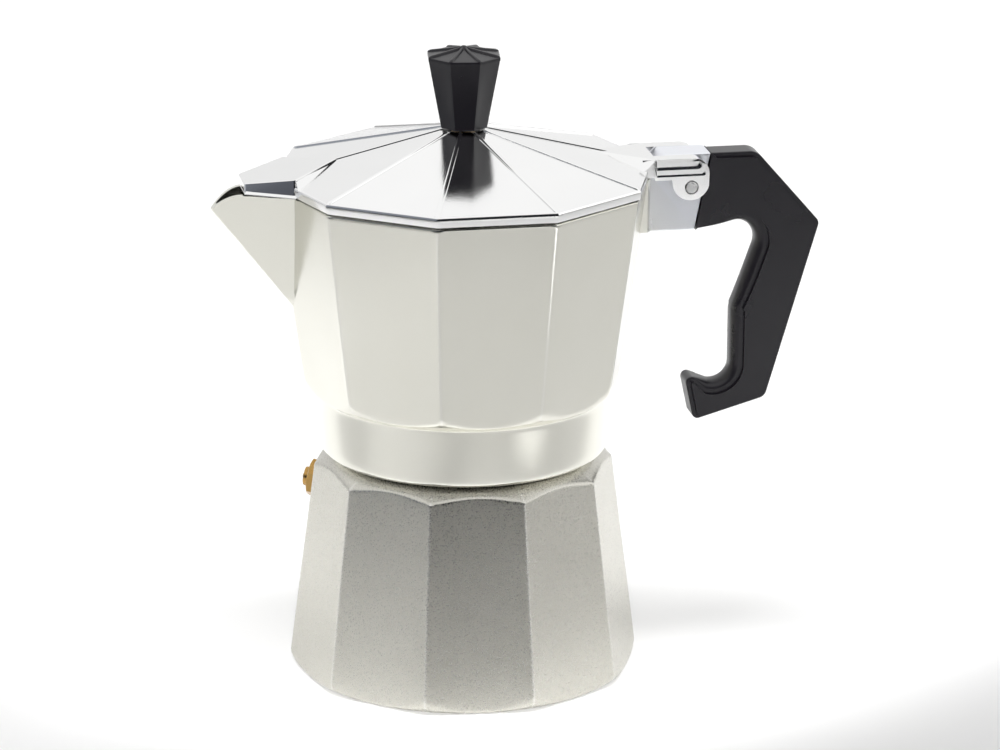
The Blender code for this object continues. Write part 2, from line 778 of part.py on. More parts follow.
def make_lid():
    rim_low = LID_RIM_Z - LID_RIM_HEIGHT
    lid = turned(
        "lid",
        [
            (0, LID_TOP_Z),
            (LID_CENTRE_R, LID_TOP_Z),
            (LID_R - 0.3, LID_RIM_Z + 0.08),
            (LID_R, LID_RIM_Z - 0.3),
            (LID_R, rim_low),
            (0, rim_low),
        ],
        POLISHED,
        steps=SIDES,
    )
    flap = hull(
        "flap",
        [(FLAP_START_X, 0, FLAP_TOP_Z), (FLAP_START_X, 0, rim_low)]
        + [
            (x, side * flap_half(x), z)
            for x in (FLAP_ROOT_X, FLAP_END_X)
            for side in (-1, 1)
            for z in (rim_low, flap_z(x))
        ],
    )
    rim_corner = LID_R - EAR_OUTER * tan(pi / SIDES)
    tab = hull(
        "tab",
        [(37.9, 0, TAB_Z), (37.9, 0, TAB_Z - 1.2)]
        + [(47.2, side * EAR_OUTER, z) for side in (-1, 1) for z in (TAB_Z, rim_low + 0.6)]
        + [(rim_corner, side * (EAR_OUTER + 0.2), TAB_Z) for side in (-1, 1)]
        + [(rim_corner - 0.5, side * (EAR_OUTER + 1.9), LID_RIM_Z - 0.3) for side in (-1, 1)],
    )
    hollow = turned(
        "lid_hollow",
        [
            (0, LID_TOP_Z - LID_THICKNESS - 0.3),
            (LID_CENTRE_R, LID_TOP_Z - LID_THICKNESS - 0.3),
            (46.0, 127.5),
            (46.0, rim_low - 2),
            (0, rim_low - 2),
        ],
        steps=SIDES,
    )
    pocket_wall = 1.8
    pocket_x = (FLAP_END_X + 1.5, -(LID_R + 0.5))
    pocket = hull(
        "flap_pocket",
        [
            (x, side * (flap_half(x) - pocket_wall), z)
            for x in pocket_x
            for side in (-1, 1)
            for z in (rim_low - 1, flap_z(x) - 1.5)
        ],
    )
    slot = plate(
        "hinge_slot",
        [(46.2, 124.0), (46.2, 126.0), (47.2, TAB_Z), (47.2, 134.0), (64.0, 134.0), (64.0, 124.0)],
        -EAR_INNER,
        EAR_INNER,
    )
    pin_hole = rod("ear_pin_hole", (PIN_X, -15, PIN_Z), (PIN_X, 15, PIN_Z), PIN_R + GAP)
    screw_hole = rod("lid_screw_hole", (0, 0, 130), (0, 0, 145), 1.95)
    join(lid, flap, tab, make_ear(-1), make_ear(1))
    cut(lid, hollow, pocket, slot, pin_hole, screw_hole)


def make_hinge_pin():
    reach = EAR_OUTER + 0.2
    pin = turned(
        "hinge_pin",
        [
            (0, reach),
            (PIN_R - 0.3, reach),
            (PIN_R, reach - 0.25),
            (PIN_R, 0.25 - reach),
            (PIN_R - 0.3, -reach),
            (0, -reach),
        ],
        STEEL,
        steps=SMALL_STEPS,
    )
    pin.location = (PIN_X * MM, 0.0, PIN_Z * MM)
    pin.rotation_euler.x = pi / 2


def make_knob():
    knob = turned(
        "lid_knob",
        [
            (0, KNOB_APEX_Z),
            (KNOB_TOP_R, KNOB_SHOULDER_Z),
            (KNOB_TOP_R, KNOB_SHOULDER_Z - 0.9),
            (KNOB_BASE_R, KNOB_BASE_Z),
            (0, KNOB_BASE_Z),
        ],
        PHENOLIC,
        steps=8,
        turn=KNOB_TURN,
    )
    pocket = rod("knob_pocket", (0, 0, 136), (0, 0, 149.6), 3.4)
    cut(knob, pocket)
    turned(
        "knob_insert",
        [(3.1, 149.2), (3.1, KNOB_BASE_Z + 0.3), (1.9, KNOB_BASE_Z + 0.3), (1.9, 149.2)],
        BRASS,
        steps=SMALL_STEPS,
        ring=True,
    )
    under = LID_TOP_Z - LID_THICKNESS - 0.3
    washer_low = under - GAP - 0.8
    head_top = washer_low - GAP
    turned(
        "knob_washer",
        [(4.7, under - GAP), (4.7, washer_low), (1.95, washer_low), (1.95, under - GAP)],
        STEEL,
        steps=SMALL_STEPS,
        ring=True,
    )
    screw = turned(
        "knob_screw",
        [
            (0, 147.0),
            (1.2, 147.0),
            (1.6, 146.5),
            (1.6, head_top),
            (3.5, head_top),
            (3.5, head_top - 0.9),
            (2.7, head_top - 1.9),
            (0, head_top - 1.9),
        ],
        STEEL,
        steps=SMALL_STEPS,
    )
    cut(screw, box("knob_driver_slot", (-0.45, -5, head_top - 3), (0.45, 5, head_top - 1.0)))


make_boiler(make_valve())
make_funnel()
make_seal()
make_collector()
make_riser()
make_handle()
make_lid()
make_hinge_pin()
make_knob()
bpy.context.view_layer.update()
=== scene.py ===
"""The looks of the moka pot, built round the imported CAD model.

Lengths are in millimetres, in the CAD's frame; MM turns them into Blender's metres.
"""

import json
from math import atan, cos, pi, radians, sin, tan

import bmesh
import bpy
import numpy as np
from mathutils import Matrix, Vector


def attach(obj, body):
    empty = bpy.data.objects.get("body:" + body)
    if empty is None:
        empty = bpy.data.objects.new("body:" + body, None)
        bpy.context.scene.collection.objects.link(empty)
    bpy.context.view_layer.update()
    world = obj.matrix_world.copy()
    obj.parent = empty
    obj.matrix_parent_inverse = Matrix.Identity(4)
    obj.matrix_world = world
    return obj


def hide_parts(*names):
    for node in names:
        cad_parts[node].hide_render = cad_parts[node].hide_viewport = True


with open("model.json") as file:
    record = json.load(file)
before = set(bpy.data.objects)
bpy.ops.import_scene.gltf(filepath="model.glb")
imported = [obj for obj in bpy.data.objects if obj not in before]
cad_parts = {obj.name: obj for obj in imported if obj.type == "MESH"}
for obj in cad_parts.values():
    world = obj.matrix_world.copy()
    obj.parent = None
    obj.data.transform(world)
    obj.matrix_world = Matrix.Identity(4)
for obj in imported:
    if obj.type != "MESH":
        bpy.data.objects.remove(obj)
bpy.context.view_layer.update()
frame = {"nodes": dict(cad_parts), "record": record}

MM = 0.001
MERGE = 1e-6
SIDES = 10
# Steps round a large and round a small turned piece
FINE, SMALL = 96, 48

# The pot's sizes, as the CAD has them
BOILER_TURN = -4.77
BOILER_FOOT_R, BOILER_FOOT_Z = 44.3, 2.5
BOILER_TOP_R, BOILER_TOP_Z = 37.8, 52.7
BOILER_DRAFT = (BOILER_FOOT_R - BOILER_TOP_R) / (BOILER_TOP_Z - BOILER_FOOT_Z)
SHOULDER_SLOPE = 0.74
NECK_R, NECK_BORE_R, NECK_TOP = 31.2, 28.0, 69.5
BOILER_WALL, BASE_THICKNESS = 2.7, 3.2
PITCH = 3.0
THREAD_CREST_R, COLLAR_CREST_R, COLLAR_BORE_R = 32.4, 31.8, 33.1
THREAD_LOW, THREAD_HIGH = 60.2, 67.6
THREAD_ROOT_HALF, THREAD_CREST_HALF = 0.85, 0.3
RIM_R, RIM_Z = 47.5, 125.6
WAIST_R, WAIST_Z = 40.8, 77.8
BODY_DRAFT = (RIM_R - WAIST_R) / (RIM_Z - WAIST_Z)
COLLAR_BOTTOM = 56.7
CHAMBER_WALL, CHAMBER_FLOOR, SEAT_Z = 2.4, 79.2, 75.7
SPOUT_TIP_X, SPOUT_TIP_Z = -63.4, 121.2
KEEL_FOOT_X, KEEL_FOOT_Z = -43.4, 95.6
SPOUT_ROOT_X, SPOUT_ROOT_HALF, SPOUT_WALL = -44.3, 10.2, 1.7
# The spout's outside ends within the chamber's wall, and its inside opens through that wall
SPOUT_OUTSIDE_END_X, SPOUT_INSIDE_END_X, KEEL_RUN_ON = -42.6, -38.0, 2.5
LIP_START_X = -55.5
PIN_X, PIN_Z, PIN_R, PIN_GAP = 56.2, 123.4, 1.45, 0.3
LUG_ROOT_X, LUG_HALF, LUG_TOP, LUG_BOTTOM, LUG_ARC_R = 43.4, 4.3, 131.0, 111.3, 9.9
EAR_INNER, EAR_OUTER = 4.6, 8.7
EAR_EYE_R, EAR_NOSE_R, TROUGH_END_R = 4.75, 4.1, 3.15
HANDLE_HALF, JOINT_FOOT_X, JOINT_SLOPE, JOINT_GAP = 4.4, 58.1, 0.2, 0.3
HANDLE_SCREW_X, HANDLE_HOLE_R = 65.5, 1.75
HANDLE_TOP_Z, HANDLE_UNDER_Z = 130.7, 111.2
PANEL_RISE, PANEL_INSET, PANEL_GRIP_INSET = 0.9, 1.2, 2.0
LID_R, LID_RIM_Z, LID_RIM_HEIGHT = 48.1, 128.8, 2.7
LID_TOP_Z, LID_CENTRE_R, LID_THICKNESS = 139.2, 5.2, 1.6
LID_SLOPE = (LID_TOP_Z - LID_RIM_Z) / (LID_R - LID_CENTRE_R)
# The lid's panels lie this far under the CAD's top, so that the ridges stay within it
PANEL_DROP, RIDGE_RISE, RIDGE_FOOT = 0.2, 0.36, 0.05
FLAP_START_X, FLAP_ROOT_X, FLAP_END_X = -31.5, -43.9, -55.7
FLAP_ROOT_HALF, FLAP_END_HALF = 12.2, 5.6
FLAP_TOP_Z, FLAP_SLOPE = 132.9, 0.18
FILLET_DROP, FLAP_LEAN, FLAP_WALL = 0.4, 0.6, 1.8
TAB_Z = 130.9
TAB_FOOT = ((33.5, 0.8, 131.9), (42.6, 12.6, 128.35), (44.6, 10.5, 127.6))
KNOB_SIDES, KNOB_BASE_R, KNOB_BASE_Z = 8, 6.2, 139.5
KNOB_TOP_R, KNOB_SHOULDER_Z, KNOB_APEX_Z, KNOB_TURN = 9.6, 157.8, 160.0, 14.7
VALVE_AZIMUTH, VALVE_Z, VALVE_HEX_R, VALVE_HOLE_R = 157.23, 44.7, 4.95, 3.7
# How strongly the painted highlight lightens an upright corner of the ten-sided wall, and how far from the
# corner it reaches
EDGE_HIGHLIGHT, EDGE_HIGHLIGHT_REACH = 0.3, 0.5

# The stage is in metres
FLOOR_RADIUS, FLOOR_DROP = 1.5, 0.0002


# ---- mesh helpers


def link(name, mesh):
    obj = bpy.data.objects.new(name, mesh)
    bpy.context.scene.collection.objects.link(obj)
    return obj


def from_bmesh(name, bm):
    bmesh.ops.recalc_face_normals(bm, faces=bm.faces)
    mesh = bpy.data.meshes.new(name)
    bm.to_mesh(mesh)
    bm.free()
    return link(name, mesh)


def baked(obj, fill=False):
    """The object as its modifiers leave it, as a plain mesh in world coordinates."""
    bpy.context.view_layer.update()
    mesh = bpy.data.meshes.new_from_object(obj.evaluated_get(bpy.context.evaluated_depsgraph_get()))
    bm = bmesh.new()
    bm.from_mesh(mesh)
    bmesh.ops.remove_doubles(bm, verts=bm.verts, dist=MERGE)
    if fill:
        bmesh.ops.holes_fill(bm, edges=[e for e in bm.edges if e.is_boundary])
    bmesh.ops.transform(bm, matrix=obj.matrix_world, verts=bm.verts)
    bmesh.ops.recalc_face_normals(bm, faces=bm.faces)
    bm.to_mesh(mesh)
    bm.free()
    name = obj.name
    bpy.data.objects.remove(obj, do_unlink=True)
    return link(name, mesh)


def profile_mesh(name, points, ring):
    bm = bmesh.new()
    verts = [bm.verts.new((r * MM, 0.0, z * MM)) for r, z in points]
    for a, b in zip(verts, verts[1:]):
        bm.edges.new((a, b))
    if ring:
        bm.edges.new((verts[-1], verts[0]))
    mesh = bpy.data.meshes.new(name)
    bm.to_mesh(mesh)
    bm.free()
    return link(name, mesh)


def turned(name, points, steps=FINE, ring=False, turn=0.0):
    obj = profile_mesh(name, points, ring)
    screw = obj.modifiers.new("turn", "SCREW")
    screw.axis = "Z"
    screw.steps = screw.render_steps = steps
    screw.use_merge_vertices = True
    screw.merge_threshold = MERGE
    obj.rotation_euler.z = radians(turn)
    return baked(obj)


def hull(name, points):
    bm = bmesh.new()
    for p in points:
        bm.verts.new(Vector(p) * MM)
    bmesh.ops.convex_hull(bm, input=bm.verts)
    bmesh.ops.dissolve_limit(bm, angle_limit=radians(0.02), verts=bm.verts, edges=bm.edges)
    return from_bmesh(name, bm)


def rod(name, start, end, r, steps=SMALL):
    a, b = Vector(start) * MM, Vector(end) * MM
    bm = bmesh.new()
    bmesh.ops.create_cone(
        bm, cap_ends=True, segments=steps, radius1=r * MM, radius2=r * MM, depth=(b - a).length
    )
    turn = (b - a).to_track_quat("Z", "Y").to_matrix().to_4x4()
    bmesh.ops.transform(bm, matrix=Matrix.Translation((a + b) / 2) @ turn, verts=bm.verts)
    return from_bmesh(name, bm)


def box(name, low, high):
    xs, ys, zs = zip(low, high)
    return hull(name, [(x, y, z) for x in xs for y in ys for z in zs])


def rounded(corners, step=6.0):
    """The outline through (x, z, radius) corners, each rounded by an arc of its radius."""
    points = []
    count = len(corners)
    for i, (x, z, r) in enumerate(corners):
        here = Vector((x, z))
        if not r:
            points.append(here)
            continue
        before = (Vector(corners[i - 1][:2]) - here).normalized()
        after = (Vector(corners[(i + 1) % count][:2]) - here).normalized()
        half = before.angle(after) / 2
        centre = here + (before + after).normalized() * (r / sin(half))
        first = here + before * (r / tan(half)) - centre
        sweep = first.angle_signed(here + after * (r / tan(half)) - centre)
        parts = max(3, round(abs(sweep) / radians(step)))
        for k in range(parts + 1):
            points.append(centre + Matrix.Rotation(-sweep * k / parts, 2) @ first)
    return points


def plate(name, outline, y_low, y_high):
    """A flat outline in the XZ plane, as thick as from y_low to y_high."""
    curve = bpy.data.curves.new(name, "CURVE")
    curve.dimensions = "2D"
    curve.fill_mode = "BOTH"
    curve.extrude = (y_high - y_low) / 2 * MM
    spline = curve.splines.new("POLY")
    spline.points.add(len(outline) - 1)
    for point, (x, z) in zip(spline.points, outline):
        point.co = (x * MM, z * MM, 0.0, 1.0)
    spline.use_cyclic_u = True
    obj = link(name, curve)
    obj.rotation_euler.x = pi / 2
    obj.location.y = (y_low + y_high) / 2 * MM
    return baked(obj)


def bevel(obj, width, segments=3, angle=30):
    made = obj.modifiers.new("rounded_edges", "BEVEL")
    made.width = width * MM
    made.segments = segments
    made.limit_method = "ANGLE"
    made.angle_limit = radians(angle)
    return baked(obj)


def combine(obj, operation, others):
    """Joins, cuts or intersects with each of the others, which are then removed."""
    for other in others:
        step = obj.modifiers.new(other.name, "BOOLEAN")
        step.operation = operation
        step.object = other
        step.solver = "EXACT"
    made = baked(obj)
    for other in others:
        bpy.data.objects.remove(other, do_unlink=True)
    return made


def join(obj, *others):
    return combine(obj, "UNION", others)


def cut(obj, *others):
    return combine(obj, "DIFFERENCE", others)


def thread_ridge(name, root_r, crest_r, low, high, phase):
    """One helical ridge, right-handed; phase is the height of its centre at angle zero."""
    half = [(root_r, THREAD_ROOT_HALF), (crest_r, THREAD_CREST_HALF)]
    corners = half + [(r, -z) for r, z in reversed(half)]
    shift = phase + PITCH * round((low - phase) / PITCH)
    turns = (high - low) / PITCH
    obj = profile_mesh(name, [(r, z + shift) for r, z in corners], True)
    screw = obj.modifiers.new("helix", "SCREW")
    screw.axis = "Z"
    screw.angle = 2 * pi * turns
    screw.screw_offset = PITCH * turns * MM
    screw.steps = screw.render_steps = round(FINE * turns)
    return baked(obj, fill=True)


def ring_solid(name, rings):
    """A closed body from rings of points, from one pole to the other; every ring has as many points."""
    bm = bmesh.new()
    rows = [[bm.verts.new(Vector(p) * MM) for p in ring] for ring in rings]
    count = len(rows[0])
    for a, b in zip(rows, rows[1:]):
        for i in range(count):
            j = (i + 1) % count
            bm.faces.new((a[i], a[j], b[j], b[i]))
    for row in (rows[0], rows[-1]):
        middle = bm.verts.new(sum((v.co for v in row), Vector()) / count)
        for i in range(count):
            bm.faces.new((row[i], row[(i + 1) % count], middle))
    return from_bmesh(name, bm)


def smooth_min(a, b, k):
    """The smaller of a and b, blended where they differ by less than k."""
    h = np.clip(0.5 + 0.5 * (b - a) / k, 0.0, 1.0)
    return b * (1 - h) + a * h - k * h * (1 - h)


def facet_angles(turn, edge=(0.0, 0.28, 0.62, 1.05, 1.7), inner=6):
    """Angles round the pot, crowded at the corners so that those can be rounded."""
    span = 360.0 / SIDES
    half = list(edge) + list(np.linspace(edge[-1], span / 2, inner + 1)[1:])
    facet = half + [span - a for a in reversed(half[1:-1])]
    return np.radians(np.array([turn + span * k + a for k in range(SIDES) for a in facet]))


def faceted_radius(theta, corner_r, turn, k):
    """Radius of a rounded ten-sided outline in each direction."""
    span = 2 * pi / SIDES
    local = (theta - radians(turn)) % span - span / 2
    apothem = corner_r * cos(span / 2)
    here = apothem / np.cos(local)
    beside = apothem / np.cos(span - np.abs(local))
    return smooth_min(here, beside, k)


def polar_ring(theta, r, z):
    r = np.broadcast_to(r, theta.shape)
    return [(ri * cos(t), ri * sin(t), z) for ri, t in zip(r, theta)]


def facet_mid(corner_r):
    return corner_r * cos(pi / SIDES)


def finish_mesh(obj, angle=30):
    """Smooth shading that leaves flats flat, and edges beyond the angle sharp."""
    obj.data.shade_smooth()
    obj.data.set_sharp_from_angle(angle=radians(angle))
    step = obj.modifiers.new("weighted", "WEIGHTED_NORMAL")
    step.mode = "FACE_AREA"
    step.weight = 50
    step.keep_sharp = True
    mesh = bpy.data.meshes.new_from_object(obj.evaluated_get(bpy.context.evaluated_depsgraph_get()))
    obj.modifiers.clear()
    obj.data = mesh


def mark_zone(obj, name, closeness):
    """Stores how much each point belongs to a zone, from 0 to 1."""
    mesh = obj.data
    values = np.empty(len(mesh.vertices) * 3)
    mesh.vertices.foreach_get("co", values)
    points = values.reshape(-1, 3) / MM
    layer = mesh.attributes.new(name, "FLOAT", "POINT")
    layer.data.foreach_set("value", closeness(points).astype(np.float32))


def corner_distance(points, turn):
    """Distance in mm along the surface from the nearest upright corner of the ten-sided wall."""
    span = 360.0 / SIDES
    angle = np.degrees(np.arctan2(points[:, 1], points[:, 0])) - turn
    off = (angle + span / 2) % span - span / 2
    return np.abs(np.radians(off)) * np.hypot(points[:, 0], points[:, 1])


def painted_edge_highlight(points, turn, inside_r):
    """Painted highlight along the upright corners that lie outside a radius, from 0 to the highlight's full
    strength.
    """
    upright = np.clip(1.0 - corner_distance(points, turn) / EDGE_HIGHLIGHT_REACH, 0.0, 1.0)
    return upright * (np.hypot(points[:, 0], points[:, 1]) > inside_r) * EDGE_HIGHLIGHT


# ---- materials


def new_material(name, colour, metallic, roughness, **inputs):
    made = bpy.data.materials.new(name)
    made.use_nodes = True
    shader = made.node_tree.nodes["Principled BSDF"]
    shader.inputs["Base Color"].default_value = (*colour, 1.0)
    shader.inputs["Metallic"].default_value = metallic
    shader.inputs["Roughness"].default_value = roughness
    for key, value in inputs.items():
        shader.inputs[key.replace("_", " ")].default_value = value
    made.diffuse_color = (*colour, 1.0)
    return made


class Nodes:
    """Short ways to add the few kinds of node that a material or the world uses."""

    def __init__(self, owner):
        self.tree = owner.node_tree

    def add(self, kind, **values):
        node = self.tree.nodes.new(kind)
        for key, value in values.items():
            setattr(node, key, value)
        return node

    def wire(self, source, target):
        self.tree.links.new(source, target)

    def show(self, name, source):
        """Wires a source to one of the material's own inputs."""
        self.wire(source, self.tree.nodes["Principled BSDF"].inputs[name])

    def noise(self, size, detail=2.0, rough=0.5, stretch=(1, 1, 1)):
        """Noise in object coordinates; a small stretch value draws it out along that axis."""
        place = self.add("ShaderNodeTexCoord")
        mapping = self.add("ShaderNodeMapping")
        mapping.inputs["Scale"].default_value = stretch
        self.wire(place.outputs["Object"], mapping.inputs["Vector"])
        node = self.add("ShaderNodeTexNoise")
        node.inputs["Scale"].default_value = size
        node.inputs["Detail"].default_value = detail
        node.inputs["Roughness"].default_value = rough
        self.wire(mapping.outputs["Vector"], node.inputs["Vector"])
        return node.outputs["Fac"]

    def remap(self, source, *limits):
        """Turns a range into another: from low, from high, to low, to high."""
        node = self.add("ShaderNodeMapRange")
        for key, value in zip(("From Min", "From Max", "To Min", "To Max"), limits):
            node.inputs[key].default_value = value
        self.wire(source, node.inputs["Value"])
        return node.outputs["Result"]

    def blend(self, factor, a, b):
        """Mixes two colours, each a plain colour or a socket."""
        node = self.add("ShaderNodeMix", data_type="RGBA")
        self.wire(factor, node.inputs["Factor"])
        for value, key in ((a, "A"), (b, "B")):
            target = [s for s in node.inputs if s.name == key and s.type == "RGBA"][0]
            if isinstance(value, tuple):
                target.default_value = (*value, 1.0)
            else:
                self.wire(value, target)
        return [s for s in node.outputs if s.type == "RGBA"][0]

    def maths(self, operation, a, b):
        node = self.add("ShaderNodeMath", operation=operation)
        for i, value in enumerate((a, b)):
            if isinstance(value, (int, float)):
                node.inputs[i].default_value = value
            else:
                self.wire(value, node.inputs[i])
        return node.outputs["Value"]

    def bump(self, source, distance, below=None):
        """Relief as deep as the distance in mm, on top of the relief below."""
        node = self.add("ShaderNodeBump")
        node.inputs["Strength"].default_value = 1.0
        node.inputs["Distance"].default_value = distance * MM
        self.wire(source, node.inputs["Height"])
        if below is not None:
            self.wire(below, node.inputs["Normal"])
        return node.outputs["Normal"]

    def zone(self, name):
        """How much of a stored zone a point is in, from 0 to 1."""
        node = self.add("ShaderNodeAttribute", attribute_name=name)
        return node.outputs["Fac"]


def clouded(name, base, tones, roughness, cloud, grain=None, **inputs):
    """A material whose colour and roughness vary in soft clouds, with a fine relief.

    base is the new material's colour, metallic and roughness; cloud and grain start with the
    size and detail of a noise, and grain ends with its depth in mm.
    """
    made = new_material(name, *base, **inputs)
    n = Nodes(made)
    source = n.noise(*cloud)
    n.show("Base Color", n.blend(source, *tones))
    n.show("Roughness", n.remap(source, *roughness))
    if grain:
        size, detail, depth = grain
        n.show("Normal", n.bump(n.noise(size, detail), depth))
    return made


def satin_metal():
    made = new_material("satin_aluminium_look", (0.84, 0.83, 0.76), 1.0, 0.16)
    n = Nodes(made)
    cloud = n.noise(38.0, 4.0, 0.6)
    drawn = n.noise(160.0, 3.0, 0.6, (1, 1, 0.25))
    grain = n.noise(2400.0, 2.0)
    base = n.blend(cloud, (0.765, 0.755, 0.68), (0.815, 0.807, 0.745))
    # Painted highlight: the upright corners are lightened towards near-white
    edge_lit = n.blend(n.zone("painted_edge_highlight"), base, (0.94, 0.935, 0.92))
    # Painted reflection on the lug: its zone is lightened and turned bluer, and it is made rougher too
    n.show("Base Color", n.blend(n.zone("rough_lug_painted_reflection"), edge_lit, (0.90, 0.915, 0.96)))
    rough = n.remap(drawn, 0.3, 0.7, 0.13, 0.20)
    rougher = n.maths("MULTIPLY", n.zone("rough_lug_painted_reflection"), 0.2)
    n.show("Roughness", n.maths("ADD", rough, rougher))
    low = n.bump(drawn, 0.02)
    n.show("Normal", n.bump(grain, 0.004, below=low))
    return made


def blasted_metal():
    made = new_material("blasted_aluminium_look", (0.72, 0.70, 0.63), 1.0, 0.30)
    n = Nodes(made)
    cloud = n.noise(45.0, 4.0, 0.6)
    grain = n.noise(2600.0, 2.0, 0.6)
    pits = n.noise(1100.0, 2.0, 0.5)
    base = n.blend(cloud, (0.57, 0.555, 0.497), (0.645, 0.63, 0.572))
    speckled = n.blend(n.remap(grain, 0.3, 0.6, 0.7, 0.0), base, (0.56, 0.55, 0.51))
    # Painted highlight: the upright corners are lightened towards near-white, and made a little smoother
    n.show("Base Color", n.blend(n.zone("painted_edge_highlight"), speckled, (0.95, 0.945, 0.93)))
    rough = n.remap(grain, 0.3, 0.7, 0.24, 0.34)
    smoother = n.maths("MULTIPLY", n.zone("painted_edge_highlight"), 0.1)
    n.show("Roughness", n.maths("SUBTRACT", rough, smoother))
    low = n.bump(pits, 0.012)
    n.show("Normal", n.bump(grain, 0.03, below=low))
    return made


def pressed_sheet():
    made = new_material("sheet_aluminium_look", (0.80, 0.80, 0.79), 1.0, 0.32)
    n = Nodes(made)
    cloud = n.noise(80.0, 4.0)
    brushed = n.noise(1100.0, 3.0, stretch=(1, 0.06, 1))
    n.show("Base Color", n.blend(cloud, (0.74, 0.74, 0.73), (0.86, 0.86, 0.85)))
    n.show("Roughness", n.remap(brushed, 0.3, 0.7, 0.26, 0.4))
    n.show("Normal", n.bump(brushed, 0.008))
    return made


LOOKS = {
    "polished_aluminium": clouded(
        "polished_aluminium_look", ((0.93, 0.93, 0.925), 1.0, 0.09),
        ((0.90, 0.90, 0.895), (0.95, 0.95, 0.945)), (0.3, 0.7, 0.065, 0.13), (60.0, 3.0),
        (2600.0, 2.0, 0.009),
    ),
    "satin_aluminium": satin_metal(),
    "blasted_aluminium": blasted_metal(),
    "sheet_aluminium": pressed_sheet(),
    "steel": clouded(
        "steel_look", ((0.66, 0.66, 0.66), 1.0, 0.28),
        ((0.74, 0.74, 0.745), (0.84, 0.84, 0.835)), (0.3, 0.7, 0.2, 0.36), (300.0, 3.0),
    ),
    "brass": clouded(
        "brass_look", ((0.78, 0.56, 0.27), 1.0, 0.25),
        ((0.42, 0.24, 0.07), (0.60, 0.39, 0.14)), (0.3, 0.7, 0.2, 0.38), (260.0, 3.0), (1800.0, 3.0, 0.008),
    ),
    "black_phenolic": clouded(
        "black_phenolic_look", ((0.022, 0.020, 0.021), 0.0, 0.36),
        ((0.0045, 0.004, 0.0055), (0.0055, 0.005, 0.0065)), (0.0, 1.0, 0.25, 0.31), (55.0, 4.0),
        (1600.0, 2.0, 0.008), IOR=1.46,
    ),
    "white_silicone": clouded(
        "white_silicone_look", ((0.82, 0.82, 0.80), 0.0, 0.55),
        ((0.78, 0.775, 0.75), (0.86, 0.86, 0.845)), (0.3, 0.7, 0.48, 0.62), (90.0, 3.0),
    ),
}


def place(obj, body, slot, *nodes):
    """Gives a finished piece its look and its body, and hides the CAD nodes that it stands for."""
    obj.data.materials.clear()
    obj.data.materials.append(LOOKS[slot])
    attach(obj, body)
    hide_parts(*nodes)


# ---- boiler


# Height and radius of the rounded lower edge
BOILER_FOOT_ROUNDING = (
    (0.0, 41.8), (0.5, 42.7), (1.0, 43.4), (2.0, 44.05), (3.2, 44.5), (5.0, 45.2), (7.0, 45.8),
)


def boiler_corner_r(z):
    return BOILER_FOOT_R - BOILER_DRAFT * (z - BOILER_FOOT_Z)


def boiler_envelope(z):
    """Radius of the turned outline that trims the ten-sided wall."""
    neck_foot = BOILER_TOP_Z + (BOILER_TOP_R - NECK_R) * SHOULDER_SLOPE
    cone_r = BOILER_TOP_R + (BOILER_TOP_Z - z) / SHOULDER_SLOPE
    heights, radii = zip(*BOILER_FOOT_ROUNDING)
    if z > neck_foot:
        return NECK_R
    return min(cone_r, radii[-1]) if z > 10 else np.interp(z, heights, radii)


def valve_frame():
    """The middle of the valve's facet, with Z out of the facet."""
    lean = atan(BOILER_DRAFT * cos(pi / SIDES))
    reach = facet_mid(boiler_corner_r(VALVE_Z)) * MM
    around = radians(VALVE_AZIMUTH)
    where = Matrix.Translation((reach * cos(around), reach * sin(around), VALVE_Z * MM))
    return where @ Matrix.Rotation(around, 4, "Z") @ Matrix.Rotation(pi / 2 - lean, 4, "Y")


def moved(obj, matrix):
    obj.data.transform(matrix)
    return obj


def make_boiler():
    theta = facet_angles(BOILER_TURN)
    levels = [0.0, 0.12, 0.35, 0.7, 1.1, 1.6, 2.2, 3.0, 3.8, 4.8, 6.0, 7.5, 12, 20, 30, 40, 47, 50]
    levels += list(np.arange(51.0, 55.6, 0.25)) + [56.2, 56.9, 57.35, 57.6, 57.9, 58.5]
    levels += [NECK_TOP - 0.5, NECK_TOP - 0.15, NECK_TOP]
    rings = [polar_ring(theta, 12.0, 0.0), polar_ring(theta, 33.0, 0.0), polar_ring(theta, 40.8, 0.0)]
    for z in levels:
        wall = faceted_radius(theta, boiler_corner_r(z), BOILER_TURN, 0.16)
        turned_r = boiler_envelope(z)
        if z == NECK_TOP - 0.15:
            turned_r -= 0.12
        if z == NECK_TOP:
            turned_r -= 0.45
        rings.append(polar_ring(theta, smooth_min(wall, turned_r, 0.45) if z < 57 else turned_r, z))
    inner_low = facet_mid(boiler_corner_r(6.0)) - BOILER_WALL
    inner_high = facet_mid(boiler_corner_r(49.5)) - BOILER_WALL
    inside = [
        (NECK_BORE_R + 0.4, NECK_TOP),
        (NECK_BORE_R, NECK_TOP - 0.4),
        (NECK_BORE_R, 57.2),
        (NECK_BORE_R + 0.2, 56.5),
        (inner_high - 1.8, 51.8),
        (inner_high - 0.6, 50.6),
        (inner_high, 49.3),
        (inner_low, 7.0),
        (inner_low - 0.6, 5.2),
        (inner_low - 2.4, BASE_THICKNESS + 0.4),
        (12.0, BASE_THICKNESS),
    ]
    rings += [polar_ring(theta, r, z) for r, z in inside]
    boiler = ring_solid("boiler_cast", rings)
    thread = thread_ridge("neck_thread", NECK_R - 0.3, THREAD_CREST_R, THREAD_LOW, THREAD_HIGH, 0.0)
    boiler = join(boiler, thread)
    boiler = cut(boiler, moved(rod("valve_hole", (0, 0, -9), (0, 0, 6), VALVE_HOLE_R), valve_frame()))
    finish_mesh(boiler)
    # Painted highlight along the boiler's upright corners, up to 54.5 mm high
    mark_zone(boiler, "painted_edge_highlight", lambda at: painted_edge_highlight(at, BOILER_TURN, 34.0) * (at[:, 2] < 54.5))
    place(boiler, "base", "blasted_aluminium", "boiler")


# ---- safety valve


